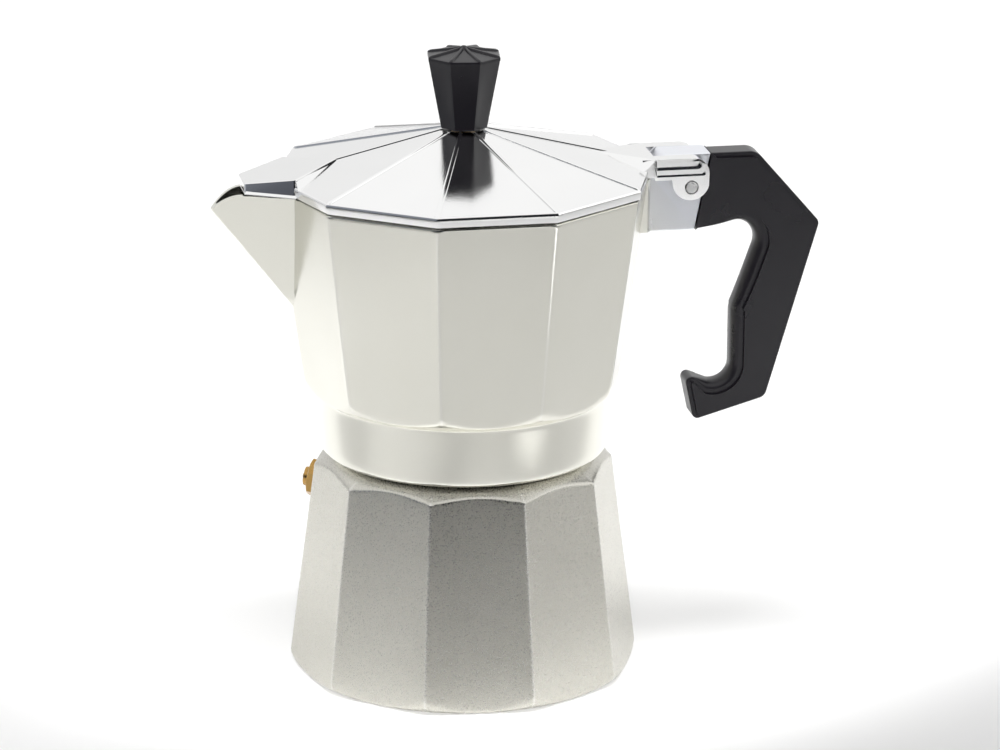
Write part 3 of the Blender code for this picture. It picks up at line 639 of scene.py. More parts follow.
def make_valve():
    hexagon = turned(
        "valve_hexagon",
        [(0, 3.2), (VALVE_HEX_R, 3.2), (VALVE_HEX_R, 1.2), (0, 1.2)],
        steps=6,
        turn=180,
    )
    past_hex = VALVE_HEX_R + 0.1
    chamfer = turned(
        "valve_chamfer",
        [(0, 3.2), (4.15, 3.2), (4.5, 3.05), (past_hex, 2.72), (past_hex, 1.55), (4.5, 1.2), (0, 1.2)],
        steps=SMALL,
    )
    body = combine(hexagon, "INTERSECT", [chamfer])
    stem = turned(
        "valve_stem",
        [
            (0, 4.6), (2.05, 4.6), (2.35, 4.5), (2.45, 4.2), (2.45, 3.5), (2.25, 3.35), (2.25, 2.2),
            (3.4, 2.2), (3.4, -4.2), (3.1, -4.5), (0, -4.5),
        ],
        steps=SMALL,
    )
    bore = turned(
        "valve_bore",
        [(0, 6.0), (1.9, 6.0), (1.9, 4.5), (1.75, 4.35), (1.75, -3.3), (0.8, -3.3), (0.8, -6.0), (0, -6.0)],
        steps=SMALL,
    )
    body = cut(join(body, stem), bore)
    finish_mesh(moved(body, valve_frame()), 25)
    body.name = "valve_body_turned"
    place(body, "base", "brass", "safety_valve_body")
    washer = turned(
        "valve_washer_soft",
        [(4.6, 0.9), (4.7, 0.8), (4.7, 0.4), (4.6, 0.3), (3.7, 0.3), (3.7, 0.9)],
        steps=SMALL,
        ring=True,
    )
    finish_mesh(moved(washer, valve_frame()))
    place(washer, "base", "white_silicone", "safety_valve_washer")


# ---- collector


def body_corner_r(z):
    return WAIST_R + BODY_DRAFT * (z - WAIST_Z)


def keel_x(z):
    """Where the spout's keel is at a height."""
    return KEEL_FOOT_X + (SPOUT_TIP_X - KEEL_FOOT_X) / (SPOUT_TIP_Z - KEEL_FOOT_Z) * (z - KEEL_FOOT_Z)


def spout_solid(name, wall, root_x, nose, top):
    """The V of the spout as a loft of level sections, each a wedge with a rounded nose."""
    foot_z = KEEL_FOOT_Z + (wall * 1.9 if wall else -KEEL_RUN_ON)
    rings = []
    for z in np.linspace(foot_z, top, 16):
        tip = keel_x(z) + wall * 1.45
        half = 0.35 + (SPOUT_ROOT_HALF - 0.35) * (z - KEEL_FOOT_Z) / (RIM_Z - KEEL_FOOT_Z) - wall * 1.12
        half = max(half, 0.3)
        run = max(SPOUT_ROOT_X - tip, 0.5)
        side = atan(max(half - nose * 0.3, 0.02) / run)
        r = min(nose, 0.35 + 0.04 * (z - foot_z))
        points = []
        centre_x = tip + r
        for k in range(9):
            a = (pi / 2 - side) * (1 - k / 4)
            points.append((centre_x - r * cos(a), r * sin(a), z))
        first, last = points[0], points[-1]
        reach = root_x - first[0]
        grow = tan(side) * reach
        points = [(root_x, first[1] + grow, z)] + points + [(root_x, last[1] - grow, z)]
        rings.append(points)
    return ring_solid(name, rings)


def lip_height(x):
    """Height of the spout's lip, which falls in a curve to the tip."""
    past = max(0.0, LIP_START_X - x)
    return RIM_Z - (RIM_Z - SPOUT_TIP_Z) / (LIP_START_X - SPOUT_TIP_X) ** 2 * past**2


def lug_outline():
    outline = [(LUG_ROOT_X, LUG_BOTTOM), (JOINT_FOOT_X, LUG_BOTTOM)]
    outline.append((JOINT_FOOT_X + JOINT_SLOPE * (LUG_TOP - LUG_BOTTOM), LUG_TOP))
    high, low = LUG_TOP - PIN_Z, RIM_Z - PIN_Z
    for k in range(9):
        rise = high + (low - high) * k / 8
        outline.append((PIN_X - (LUG_ARC_R**2 - rise**2) ** 0.5, PIN_Z + rise))
    outline.append((LUG_ROOT_X, RIM_Z))
    return outline


# Height and radius of the round collar and of the turned flare that trims the chamber's foot
COLLAR_OUTLINE = (
    (56.7, 34.2), (56.75, 34.7), (56.95, 35.3), (57.35, 35.8), (58.0, 36.1), (58.9, 36.25),
    (60.5, 36.32), (70.6, 36.6), (71.3, 36.66), (71.8, 36.75), (72.0, 37.1), (72.5, 37.9),
    (73.1, 38.6), (74.2, 39.5), (75.7, 40.35), (77.6, 40.95), (79.4, 41.3), (80.5, 52.0),
)
# Height and how much smaller the chamber's corner radius is there, for its rounded floor edge
CHAMBER_OUTLINE = (
    (CHAMBER_FLOOR, 3.2), (79.4, 2.0), (80.0, 0.9), (80.9, 0.25), (82.2, 0.0), (95, 0), (110, 0),
    (125.2, 0.0), (RIM_Z, -0.3),
)


def make_collector():
    theta = facet_angles(0.0, edge=(0.0, 0.3, 0.7, 1.2, 2.0))
    rings = [polar_ring(theta, 6.0, CHAMBER_FLOOR)]
    slope_in = CHAMBER_WALL / cos(pi / SIDES)
    for z, less in CHAMBER_OUTLINE:
        chamber_r = body_corner_r(z) - slope_in - less
        rings.append(polar_ring(theta, faceted_radius(theta, chamber_r, 0.0, 0.5), z))
    levels = [RIM_Z, RIM_Z - 0.12, RIM_Z - 0.35, 124.6, 118, 108, 98, 90, 84, 81.5, 80.5, 79.8]
    levels += [79.2, 78.6, 78.0, 77.4, 76.8, 76.2, *np.arange(75.8, 71.2, -0.3), 70.9, 70.2]
    levels += [68, 64, 60.5, 59.4, 58.6, 58.0, 57.5, 57.1, 56.85, 56.74, 56.7]
    for z in levels:
        wall = faceted_radius(theta, body_corner_r(z), 0.0, 0.3)
        if z > RIM_Z - 0.3:
            wall = wall - (0.3 if z == RIM_Z else 0.1)
        trim = np.interp(z, *zip(*COLLAR_OUTLINE))
        rings.append(polar_ring(theta, smooth_min(wall, trim, 0.5) if z > 71.9 else trim, z))
    under = [
        (COLLAR_BORE_R + 0.5, COLLAR_BOTTOM),
        (COLLAR_BORE_R, COLLAR_BOTTOM + 0.9),
        (COLLAR_BORE_R, SEAT_Z - 0.3),
        (COLLAR_BORE_R - 0.3, SEAT_Z),
        (26.0, SEAT_Z),
        (7.0, SEAT_Z + 1.3),
    ]
    rings += [polar_ring(theta, r, z) for r, z in under]
    collector = ring_solid("collector_cast", rings)

    spout = spout_solid("spout_outside", 0.0, SPOUT_OUTSIDE_END_X, 1.2, RIM_Z + 3.0)
    lug = bevel(plate("lug", lug_outline(), -LUG_HALF, LUG_HALF), 0.45)
    tongue = box("lug_tongue", (58.0, -2.0, 116.6), (70.0, 2.0, 123.6))
    flare_plan = [(LUG_ROOT_X, 5.2), (45.8, 5.1), (46.6, LUG_HALF - 0.1)]
    flare = hull(
        "lug_flare",
        [(x, side * y, z) for x, y in flare_plan for side in (-1, 1) for z in (LUG_BOTTOM, 124.9)],
    )
    collector = join(collector, spout, lug, tongue, flare)

    inside = spout_solid("spout_inside", SPOUT_WALL, SPOUT_INSIDE_END_X, 0.9, RIM_Z + 5.0)
    lip_xs = [LIP_START_X + 2] + [LIP_START_X - 10.5 * k / 16 for k in range(17)]
    lip_outline = [(-36.0, RIM_Z)] + [(x, lip_height(x)) for x in lip_xs]
    beyond = SPOUT_TIP_X - 14.0
    lip_outline += [(beyond, lip_height(lip_xs[-1])), (beyond, RIM_Z + 8), (-36.0, RIM_Z + 8)]
    lip = plate("lip_trim", lip_outline, -14.0, 14.0)
    riser_hole = rod("riser_hole", (0, 0, SEAT_Z - 1), (0, 0, CHAMBER_FLOOR + 3), 5.2)
    pin_hole = rod("lug_pin_hole", (PIN_X, -15, PIN_Z), (PIN_X, 15, PIN_Z), PIN_R + PIN_GAP)
    screw_hole = rod("tongue_screw_hole", (HANDLE_SCREW_X, 0, 110), (HANDLE_SCREW_X, 0, 126), HANDLE_HOLE_R)
    collector = cut(collector, inside, lip, riser_hole, pin_hole, screw_hole)
    thread = thread_ridge(
        "collar_thread", COLLAR_BORE_R + 0.3, COLLAR_CREST_R, THREAD_LOW - 1.2, THREAD_HIGH + 1.0, PITCH / 2
    )
    collector = join(collector, thread)
    finish_mesh(collector)

    def edge_lit(at):
        """Painted highlight on the chamber's upright corners, apart from those at the spout and the lug."""
        return painted_edge_highlight(at, 0.0, 38.0) * (at[:, 2] > 74.0) * (np.abs(at[:, 0]) < 43.0)

    # The painted highlight on the chamber's corners is stored as a zone
    mark_zone(collector, "painted_edge_highlight", edge_lit)
    # The lug's zone: rougher, with a painted reflection that lightens it and turns it bluer
    mark_zone(collector, "rough_lug_painted_reflection", lambda at: np.clip((at[:, 0] - 45.9) / 1.2, 0.0, 1.0))
    place(collector, "upper", "satin_aluminium", "collector")


def make_riser():
    foot, shoulder, top, bore = SEAT_Z + 0.9, CHAMBER_FLOOR + 0.3, 118.5, 2.7
    riser = turned(
        "riser_cast",
        [
            (0, top), (3.0, top), (3.5, top - 0.15), (4.0, top - 0.6), (4.3, top - 1.4),
            (5.9, shoulder + 4.0), (6.4, shoulder + 2.2), (7.2, shoulder + 1.0),
            (7.4, shoulder + 0.5), (7.4, shoulder), (4.9, shoulder), (4.9, foot),
            (bore + 0.9, foot), (bore, shoulder + 4.0),
            (bore - 0.6, top - 2.0), (0, top - 2.0),
        ],
    )
    slot = bevel(box("riser_slot", (-1.1, -8, top - 6.5), (1.1, 8, top - 2.6)), 0.5)
    riser = cut(riser, slot)
    finish_mesh(riser)
    place(riser, "upper", "satin_aluminium", "riser_column")


# ---- handle


def inset(outline, distance):
    """The outline moved inwards; distance is given by a function of each point."""
    count = len(outline)
    sides = zip(outline, [*outline[1:], outline[0]])
    area = sum(a[0] * b[1] - b[0] * a[1] for a, b in sides)
    inward = 1 if area > 0 else -1
    moved_points = []
    for i in range(count):
        here = Vector(outline[i])
        before = (here - Vector(outline[i - 1])).normalized()
        after = (Vector(outline[(i + 1) % count]) - here).normalized()
        a, b = Vector((-before.y, before.x)) * inward, Vector((-after.y, after.x)) * inward
        mitre = (a + b).normalized()
        moved_points.append(here + mitre * (distance(here) / max(mitre.dot(a), 0.4)))
    return moved_points


def divided(outline, step=1.5):
    """The outline with extra points, so that no side is longer than the step."""
    points = []
    for i, start in enumerate(outline):
        start, end = Vector(start), Vector(outline[(i + 1) % len(outline)])
        parts = max(1, round((end - start).length / step))
        points += [start.lerp(end, k / parts) for k in range(parts)]
    return points


def soft_plate(name, outline, half, rounding):
    """A plate in the XZ plane; rounding gives each point's reach inwards and in thickness."""
    bm = bmesh.new()
    rows = []
    shares = [0.0, 0.3, 0.5, 0.66, 0.78, 0.87, 0.94, 0.985, 1.0]
    for share in [-k for k in reversed(shares[1:])] + shares:
        def reach(point, share=share):
            inwards, depth = rounding(point)
            t = min(max((abs(share) * half - (half - depth)) / depth, 0.0), 1.0)
            return inwards * (1 - (1 - t * t) ** 0.5)

        rows.append([bm.verts.new((x * MM, share * half * MM, z * MM)) for x, z in inset(outline, reach)])
    count = len(outline)
    for low, high in zip(rows, rows[1:]):
        for i in range(count):
            j = (i + 1) % count
            bm.faces.new((low[i], low[j], high[j], high[i]))
    bm.faces.new(rows[0])
    bm.faces.new(rows[-1])
    return from_bmesh(name, bm)


def make_handle():
    def joint_x(z):
        return JOINT_FOOT_X + JOINT_SLOPE * (z - LUG_BOTTOM) + JOINT_GAP

    def grip(point):
        """1 along the inside of the grip, 0 outside, eased towards the hook's tip and the lug."""
        x, z = point
        if not 66.5 < z < 115 or x > 70.6 + max(0.0, z - 89.5) * 0.33:
            return 0.0
        ease = min(max((x - 58.5) / 4.5 if z < 90 else (x - 63.0) / 9.0, 0.0), 1.0)
        return ease * ease * (3 - 2 * ease)

    def rounding(point):
        return 0.4 + 1.7 * grip(point), 0.4 + 2.6 * grip(point)

    def panel_inset(point):
        """The panel keeps the joint's face, and is set in further on the grip's side."""
        if point.x < joint_x(point.y) + 0.2 and point.y > 105:
            return 0.0
        return PANEL_INSET + PANEL_GRIP_INSET * grip(point)

    corners = [
        (joint_x(HANDLE_TOP_Z), HANDLE_TOP_Z, 0), (74.0, HANDLE_TOP_Z, 4.0), (90.67, 111.6, 2.0),
        (77.4, 66.1, 2.5), (58.8, 60.8, 1.5), (56.2, 73.0, 1.5), (68.3, 69.1, 4.5),
        (68.3, 89.5, 6.0), (76.9, 113.8, 5.2), (joint_x(HANDLE_UNDER_Z), HANDLE_UNDER_Z, 0),
    ]
    outline = divided(rounded(corners))
    handle = soft_plate("handle_moulding", outline, HANDLE_HALF - PANEL_RISE, rounding)
    panel = bevel(plate("handle_panel", inset(outline, panel_inset), -HANDLE_HALF, HANDLE_HALF), 0.22, 3, 40)
    slot = box("tongue_slot", (54.0, -2.35, 116.2), (70.4, 2.35, 124.0))
    counterbore = rod("screw_counterbore", (HANDLE_SCREW_X, 0, 104), (HANDLE_SCREW_X, 0, 114.6), 2.95)
    hole = rod("screw_hole", (HANDLE_SCREW_X, 0, 104), (HANDLE_SCREW_X, 0, 118), HANDLE_HOLE_R)
    handle = cut(join(handle, panel), slot, counterbore, hole)
    finish_mesh(handle, 25)
    place(handle, "upper", "black_phenolic", "handle")


# ---- lid


def polygon_ring(s, sides, turn, half_run):
    """Points round a polygon of corner radius s.

    half_run gives (distance from the corner, height, dip inwards), from a corner to mid-side.
    """
    points = []
    edge = 2 * s * sin(pi / sides)
    run = half_run + [(edge - t, z, dip) for t, z, dip in half_run[-2:0:-1]]
    for k in range(sides):
        angle = turn + 2 * pi * k / sides
        a = Vector((s * cos(angle), s * sin(angle)))
        b = Vector((s * cos(angle + 2 * pi / sides), s * sin(angle + 2 * pi / sides)))
        along = (b - a).normalized()
        inward = -((a + b) / 2).normalized()
        for t, z, dip in run:
            p = a + along * t + inward * dip
            points.append((p.x, p.y, z))
    return points


def lid_ring(s, lift=0.0, ridge=0.0, ridge_half=0.55, z=None):
    """One ten-sided ring at corner radius s, with a raised ridge at each corner."""
    edge = 2 * s * sin(pi / SIDES)
    base = (LID_TOP_Z - LID_SLOPE * (s - LID_CENTRE_R) if z is None else z) + lift
    foot = ridge_half + RIDGE_FOOT
    offsets = [0.0, ridge_half * 0.75, ridge_half, foot, foot + 0.12]
    offsets += [foot + 0.12 + (edge / 2 - foot - 0.12) * k / 3 for k in (1, 2, 3)]
    lifts = [ridge, ridge, ridge * 0.82, 0.0, 0.0, 0.0, 0.0, 0.0]
    return polygon_ring(s, SIDES, 0.0, [(t, base + rise, 0.0) for t, rise in zip(offsets, lifts)])


def flap_z(x):
    """Height of the top of the lid's beak."""
    return FLAP_TOP_Z - FLAP_SLOPE * (FLAP_START_X - x)


def flap_half(x):
    """Half the width of the lid's beak."""
    run = (FLAP_ROOT_HALF - FLAP_END_HALF) / (FLAP_ROOT_X - FLAP_END_X)
    return FLAP_END_HALF + run * (x - FLAP_END_X)


def make_ear(side):
    eye = (56.0, 124.9)
    outline = [(43.6, 126.3), (43.6, TAB_Z), (56.6, TAB_Z)]
    nose = Vector((56.6, 126.8))
    for k in range(1, 13):
        angle = radians(90 - 7.5 * k)
        outline.append((nose.x + EAR_NOSE_R * cos(angle), nose.y + EAR_NOSE_R * sin(angle)))
    for k in range(28):
        angle = radians(-15 - 6 * k)
        outline.append((eye[0] + EAR_EYE_R * cos(angle), eye[1] + EAR_EYE_R * sin(angle)))
    outline += [(51.1, 125.5), (46.9, 125.5), (46.6, 126.3)]
    low, high = sorted((side * EAR_INNER, side * EAR_OUTER))
    ear = bevel(plate(f"ear_{side}", outline, low, high), 0.28, 2, 35)

    def trough(z_low, z_high, depth):
        """A lengthwise hollow in the ear's outer face, rounded at its far end."""
        middle, reach = (z_low + z_high) / 2, (z_high - z_low) / 2
        end = nose.x + (TROUGH_END_R**2 - max(middle - nose.y, 0.0) ** 2) ** 0.5 - reach
        shape = [(47.3, z_low), (47.3, z_high)]
        shape += [(end + reach * cos(a), middle + reach * sin(a)) for a in np.linspace(pi / 2, -pi / 2, 9)]
        a, b = sorted((side * (EAR_OUTER - depth), side * (EAR_OUTER + 2)))
        return plate(f"ear_trough_{side}_{z_low}", shape, a, b)

    return cut(ear, trough(128.1, TAB_Z - 0.75, 1.5), trough(126.35, 127.6, 1.0))


def make_lid():
    rim_low = LID_RIM_Z - LID_RIM_HEIGHT
    rings = [lid_ring(s, z=LID_TOP_Z - PANEL_DROP) for s in (LID_CENTRE_R * 0.6, LID_CENTRE_R)]
    for s in (5.6, 6.4, 9, 15, 22, 30, 38, 44, 46.6, 47.3):
        ridge = RIDGE_RISE * min(1.0, (s - LID_CENTRE_R) / 1.2)
        rings.append(lid_ring(s, lift=-PANEL_DROP, ridge=ridge, ridge_half=0.42 + 0.006 * s))
    top_edge = LID_TOP_Z - LID_SLOPE * (s - LID_CENTRE_R) - PANEL_DROP
    for s, z in (
        (47.65, top_edge - 0.05), (47.9, top_edge - 0.2), (48.02, top_edge - 0.45),
        (48.08, top_edge - 0.9), (48.0, 127.3), (47.86, rim_low + 0.35), (47.7, rim_low + 0.1),
        (47.45, rim_low), (46.3, rim_low), (46.05, rim_low + 0.2), (46.0, 127.3), (45.6, 127.6),
    ):
        rings.append(lid_ring(s, z=z))
    for s in (38, 26, 14, LID_CENTRE_R):
        rings.append(lid_ring(s, lift=-LID_THICKNESS - 0.35))
    lid = ring_solid("lid_shell", rings)

    flap = hull(
        "flap",
        [(FLAP_START_X, 0, FLAP_TOP_Z), (FLAP_START_X, 0, rim_low)]
        + [
            (x, side * (flap_half(x) - lean), z)
            for x in (FLAP_ROOT_X, FLAP_END_X)
            for side in (-1, 1)
            for lean, z in ((0.0, rim_low), (FLAP_LEAN, flap_z(x)))
        ],
    )
    hem = hull(
        "flap_hem",
        [
            (x - out, side * (flap_half(x) + out), z)
            for x in (FLAP_ROOT_X + 0.4, FLAP_END_X + 0.4)
            for side in (-1, 1)
            for out, z in ((0.45, rim_low), (0.45, rim_low + 0.2), (-0.1, rim_low + 0.75))
        ],
    )
    flap = bevel(flap, 0.45, 3, 25)
    fillets = []
    for side in (-1, 1):
        top_root = (FLAP_ROOT_X + 0.1, side * (FLAP_ROOT_HALF - 0.25), flap_z(FLAP_ROOT_X) - FILLET_DROP)
        foot_root = (-43.6, side * 14.4, 128.5)
        start = (FLAP_START_X - 1.0, 0.0, flap_z(FLAP_START_X) - FILLET_DROP - 0.1)
        foot_start = (-34.0, side * 2.9, 131.55)
        low = [(-43.0, side * 11.0, 127.9), (-34.5, side * 0.5, 130.2)]
        fillets.append(hull(f"flap_fillet_{side}", [top_root, foot_root, start, foot_start, *low]))
    rim_corner = LID_R - EAR_OUTER * tan(pi / SIDES)
    tab = hull(
        "tab",
        [(37.9, 0, TAB_Z), (37.9, 0, TAB_Z - 1.2)]
        + [(47.2, side * EAR_OUTER, z) for side in (-1, 1) for z in (TAB_Z, rim_low + 0.6)]
        + [(rim_corner, side * (EAR_OUTER + 0.1), TAB_Z - 0.1) for side in (-1, 1)]
        + [(x, side * y, z) for x, y, z in TAB_FOOT for side in (-1, 1)],
    )
    lid = join(lid, flap, hem, *fillets, tab, make_ear(-1), make_ear(1))
    hollow = turned(
        "lid_hollow",
        [
            (0, LID_TOP_Z - LID_THICKNESS - 0.36),
            (LID_CENTRE_R, LID_TOP_Z - LID_THICKNESS - 0.36),
            (45.95, 127.5),
            (45.95, rim_low - 2),
            (0, rim_low - 2),
        ],
        steps=SIDES,
    )
    pocket_x = (FLAP_END_X + 1.5, -(LID_R + 0.5))
    pocket = hull(
        "flap_pocket",
        [
            (x, side * (flap_half(x) - FLAP_WALL), z)
            for x in pocket_x
            for side in (-1, 1)
            for z in (rim_low - 1, flap_z(x) - 1.5)
        ],
    )
    slot = plate(
        "hinge_slot",
        [(46.2, 124.0), (46.2, 126.0), (47.2, TAB_Z), (47.2, 134.0), (64.0, 134.0), (64.0, 124.0)],
        -EAR_INNER,
        EAR_INNER,
    )
    pin_hole = rod("ear_pin_hole", (PIN_X, -15, PIN_Z), (PIN_X, 15, PIN_Z), PIN_R + PIN_GAP)
    screw_hole = rod("lid_screw_hole", (0, 0, 130), (0, 0, 145), 1.95)
    lid = cut(lid, hollow, pocket, slot, pin_hole, screw_hole)
    finish_mesh(lid, 28)
    place(lid, "lid_group", "polished_aluminium", "lid")


def make_hinge_pin():
    reach = EAR_OUTER + 0.2
    pin = turned(
        "hinge_rivet",
        [
            (0, reach), (0.8, reach), (0.9, reach - 0.05), (1.3, reach - 0.06), (PIN_R, reach - 0.16),
            (PIN_R, 0.16 - reach), (1.3, 0.06 - reach), (0.9, 0.05 - reach), (0.8, -reach), (0, -reach),
        ],
        steps=SMALL,
    )
    moved(pin, Matrix.Translation(Vector((PIN_X, 0, PIN_Z)) * MM) @ Matrix.Rotation(pi / 2, 4, "X"))
    finish_mesh(pin, 4)
    place(pin, "upper", "steel", "hinge_pin")


# ---- knob


def knob_ring(s, z, rise=0.0, half=0.5, dish=0.0):
    """One eight-sided ring, with a rib at each corner and a slight hollow between them."""
    edge = 2 * s * sin(pi / KNOB_SIDES)
    foot = min(half + 0.18, edge * 0.3)
    half = min(half, foot * 0.75)
    offsets = [0.0, half * 0.6, half, foot] + [foot + (edge / 2 - foot) * k / 3 for k in (1, 2, 3)]
    lifts = [rise, rise, rise * 0.8, 0.0, 0.0, 0.0, 0.0]
    dips = [0.0, 0.0, 0.0, 0.0, dish * 0.6, dish * 0.9, dish]
    half_run = [(t, z + lift, dip) for t, lift, dip in zip(offsets, lifts, dips)]
    return polygon_ring(s, KNOB_SIDES, radians(KNOB_TURN), half_run)


def make_knob():
    rings = [knob_ring(3.5, KNOB_BASE_Z), knob_ring(KNOB_BASE_R - 0.3, KNOB_BASE_Z)]
    rings.append(knob_ring(KNOB_BASE_R - 0.05, KNOB_BASE_Z + 0.25))
    low, high = KNOB_BASE_Z + 0.5, KNOB_SHOULDER_Z - 1.1
    for k in range(9):
        t = k / 8
        z = low + (high - low) * t
        s = KNOB_BASE_R + (KNOB_TOP_R - 0.12 - KNOB_BASE_R) * t
        rings.append(knob_ring(s, z, dish=0.12 * sin(pi * t)))
    rings.append(knob_ring(KNOB_TOP_R - 0.02, high + 0.25))
    rings.append(knob_ring(KNOB_TOP_R, KNOB_SHOULDER_Z - 0.4))
    rings.append(knob_ring(KNOB_TOP_R - 0.06, KNOB_SHOULDER_Z - 0.15, rise=0.1))
    fall = (KNOB_APEX_Z - 0.5 - KNOB_SHOULDER_Z) / KNOB_TOP_R
    for s in (9.25, 8.7, 7.0, 5.0, 3.0, 1.8):
        z = KNOB_APEX_Z - 0.62 - fall * s
        rings.append(knob_ring(s, z, rise=0.42 if s < 9.2 else 0.3, half=0.42))
    rings.append(knob_ring(0.9, KNOB_APEX_Z - 0.3))
    rings.append(knob_ring(0.4, KNOB_APEX_Z - 0.05))
    knob = ring_solid("knob_moulding", rings)
    knob = cut(knob, rod("knob_pocket", (0, 0, 136), (0, 0, 149.6), 3.4))
    finish_mesh(knob, 25)
    place(knob, "lid_group", "black_phenolic", "lid_knob")


# ---- carried-over nodes


def dress_cad_nodes():
    """Gives every CAD node its procedural look."""
    slots = {part["node"]: part["material_slot"] for part in frame["record"]["subparts"]}
    for name, obj in frame["nodes"].items():
        for i in range(max(1, len(obj.material_slots))):
            if obj.material_slots:
                obj.material_slots[i].material = LOOKS[slots[name]]


# ---- stage


# The camera looks along its own axes, turned from the pot's by this much
CAMERA_TURN = -10.33
CAMERA_AT = (-0.1997, -1.0954, 0.4200)
CAMERA_YAW, CAMERA_PITCH, CAMERA_ROLL = 0.0083, 0.3005, 0.0035
LENS, SENSOR = 166.65, 36.0


def from_camera(x, y, z):
    """A point given to the right of, beyond and above the pot, as the camera sees it."""
    turn = radians(CAMERA_TURN)
    return (x * cos(turn) - y * sin(turn), x * sin(turn) + y * cos(turn), z)


def add_stage():
    bm = bmesh.new()
    bmesh.ops.create_circle(bm, cap_ends=True, segments=128, radius=FLOOR_RADIUS)
    floor = from_bmesh("floor", bm)
    floor.location.z = -FLOOR_DROP
    paper = new_material("floor_paper", (0.90, 0.90, 0.90), 0.0, 0.7, Specular_IOR_Level=0.0)
    n = Nodes(paper)
    n.show("Base Color", n.blend(n.noise(6.0, 2.0), (0.89, 0.89, 0.89), (0.91, 0.91, 0.91)))
    floor.data.materials.append(paper)


def add_light(name, where, target, power, width, pool, blend):
    """A soft lamp aimed at a target, hidden from the camera and the metals.

    It lights a round pool whose angle is in degrees; both places are as for from_camera.
    """
    where, target = Vector(from_camera(*where)), Vector(from_camera(*target))
    data = bpy.data.lights.new(name, "SPOT")
    data.energy = power
    data.shadow_soft_size = width / 2
    data.spot_size = radians(pool)
    data.spot_blend = blend
    obj = bpy.data.objects.new(name, data)
    bpy.context.scene.collection.objects.link(obj)
    obj.location = where
    obj.rotation_euler = (target - where).to_track_quat("-Z", "Y").to_euler()
    obj.visible_camera = obj.visible_glossy = False


def add_camera():
    data = bpy.data.cameras.new("camera")
    data.sensor_width = SENSOR
    data.lens = LENS
    data.clip_start = 0.05
    obj = bpy.data.objects.new("camera", data)
    bpy.context.scene.collection.objects.link(obj)
    level = cos(CAMERA_PITCH)
    forward = Vector((sin(CAMERA_YAW) * level, cos(CAMERA_YAW) * level, -sin(CAMERA_PITCH)))
    right = Vector((cos(CAMERA_YAW), -sin(CAMERA_YAW), 0.0))
    up = right.cross(forward)
    c, s = cos(CAMERA_ROLL), sin(CAMERA_ROLL)
    right, up = c * right + s * up, c * up - s * right
    look = Matrix((right, up, -forward)).transposed()
    obj.matrix_world = (
        Matrix.Translation(CAMERA_AT) @ (Matrix.Rotation(radians(CAMERA_TURN), 3, "Z") @ look).to_4x4()
    )
    bpy.context.scene.camera = obj


# What stands round the pot, by compass direction: pale walls, and a dark room behind the camera
SURROUNDINGS = (
    (-180, (0.50, 0.52, 0.56)),
    (-160, (0.27, 0.29, 0.33)),
    (-135, (0.08, 0.085, 0.10)),
    (-118, (0.015, 0.016, 0.02)),
    (-70, (0.015, 0.016, 0.02)),
    (-50, (0.55, 0.55, 0.55)),
    (-34, (1.25, 1.25, 1.25)),
    (0, (1.25, 1.25, 1.25)),
    (55, (0.98, 0.98, 0.98)),
    (90, (0.86, 0.86, 0.86)),
    (145, (0.76, 0.76, 0.77)),
    (180, (0.50, 0.52, 0.56)),
)
# Between these heights of the view direction, the walls turn into a white ceiling
CEILING_FADE = (0.35, 0.6)


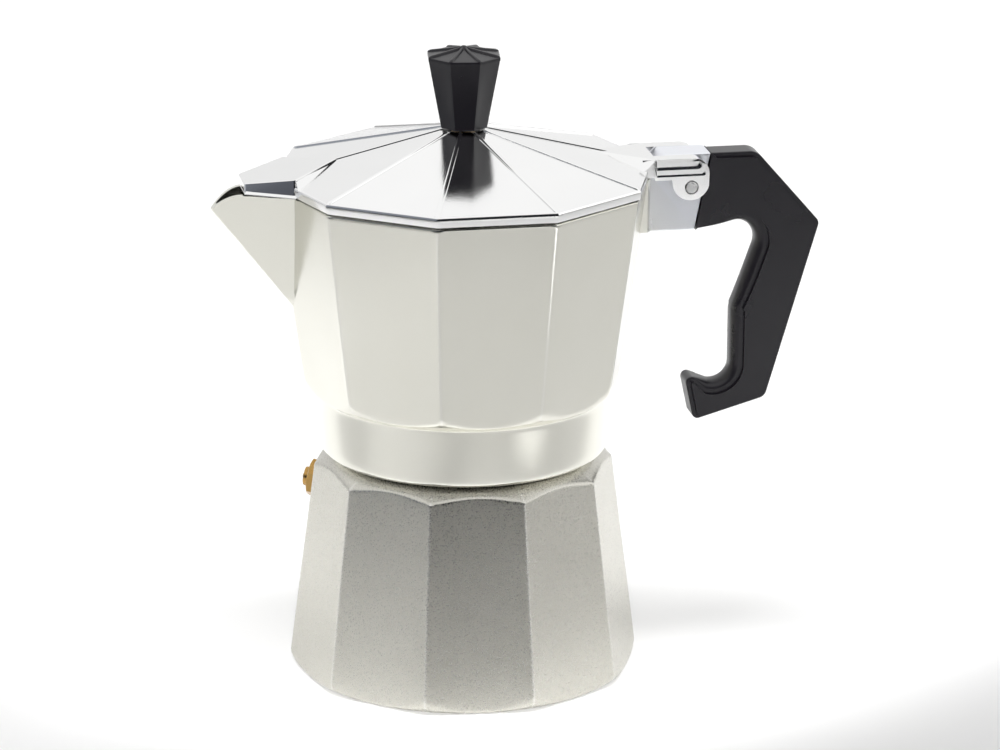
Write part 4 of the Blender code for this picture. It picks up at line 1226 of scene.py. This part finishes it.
def add_world():
    """Pale surroundings seen in the metals. They don't light matt things, and the camera sees white."""
    world = bpy.data.worlds.new("studio")
    bpy.context.scene.world = world
    world.use_nodes = True
    n = Nodes(world)
    shade = n.tree.nodes["Background"]
    way = n.add("ShaderNodeTexCoord")
    split = n.add("ShaderNodeSeparateXYZ")
    n.wire(way.outputs["Generated"], split.inputs["Vector"])
    compass = n.maths("ARCTAN2", split.outputs["Y"], split.outputs["X"])
    ramp = n.add("ShaderNodeValToRGB")
    ramp.color_ramp.interpolation = "EASE"
    while len(ramp.color_ramp.elements) < len(SURROUNDINGS):
        ramp.color_ramp.elements.new(0.5)
    for stop, (angle, colour) in zip(ramp.color_ramp.elements, SURROUNDINGS):
        stop.position = (angle + 180) / 360
        stop.color = (*colour, 1.0)
    n.wire(n.remap(compass, -pi, pi, 0.0, 1.0), ramp.inputs["Fac"])
    height = n.remap(split.outputs["Z"], *CEILING_FADE, 0.0, 1.0)
    height.node.interpolation_type = "SMOOTHSTEP"
    ceiling = n.blend(height, ramp.outputs["Color"], (1.0, 1.0, 1.0))
    path = n.add("ShaderNodeLightPath")
    seen = n.blend(path.outputs["Is Camera Ray"], ceiling, (1.0, 1.0, 1.0))
    n.wire(seen, shade.inputs["Color"])
    shade.inputs["Strength"].default_value = 1.0
    world.cycles_visibility.diffuse = False


add_camera()
add_world()
add_stage()
# Lamps: name, place, target, power, width, angle of the pool and its softness.
# The far ones keep the floor grey in views from the sides. The front fill whitens the floor seen
# behind the pot; it stands at the camera, so that its shadows are hidden.
for lamp in (
    ("main", (0.0, -0.35, 2.2), (0.0, 0.72, 0.0), 106.0, 1.0, 52, 0.35),
    ("main_left", (-1.0, -0.2, 2.1), (0.0, 0.72, 0.0), 80.0, 1.0, 50, 0.35),
    ("main_right", (1.0, -0.2, 2.1), (0.0, 0.72, 0.0), 80.0, 1.0, 50, 0.35),
    ("backdrop", (0.0, 1.0, 2.0), (0.0, 1.0, 0.0), 34.0, 0.3, 48, 1.0),
    ("far_right", (2.1, -0.3, 2.4), (2.1, -0.3, 0.0), 90.0, 0.3, 62, 1.0),
    ("far_left", (-2.1, -0.3, 2.4), (-2.1, -0.3, 0.0), 36.0, 0.3, 62, 1.0),
    ("far_front", (0.0, -2.4, 2.4), (0.0, -2.4, 0.0), 26.0, 0.3, 64, 1.0),
    ("front_fill", (0.0, -1.1135, 0.42), (0.0, 3.2, 0.0), 84.0, 0.02, 34, 0.12),
):
    add_light(*lamp)
# Pools on the floor in front: compass direction from the pot, distance, radius, power
for direction, distance, radius, power in (
    (-151.7, 0.17, 0.10, 10.0),
    (-80, 0.17, 0.10, 6.0),
    (-161, 0.30, 0.14, 10.0),
    (-125, 0.30, 0.14, 18.0),
    (-89, 0.30, 0.14, 8.0),
    (-50, 0.28, 0.09, 60.0),
    (-72, 0.44, 0.16, 32.0),
):
    turn = radians(direction - CAMERA_TURN)
    x, y = distance * cos(turn), distance * sin(turn)
    angle = 2 * np.degrees(atan(radius))
    add_light(f"pool_{-direction:g}_{distance}", (x, y, 1.0), (x, y, 0.0), power, 0.05, angle, 1.0)

make_boiler()
make_valve()
make_collector()
make_riser()
make_handle()
make_lid()
make_hinge_pin()
make_knob()
dress_cad_nodes()

bpy.context.scene.view_settings.view_transform = "Standard"
bpy.context.view_layer.update()
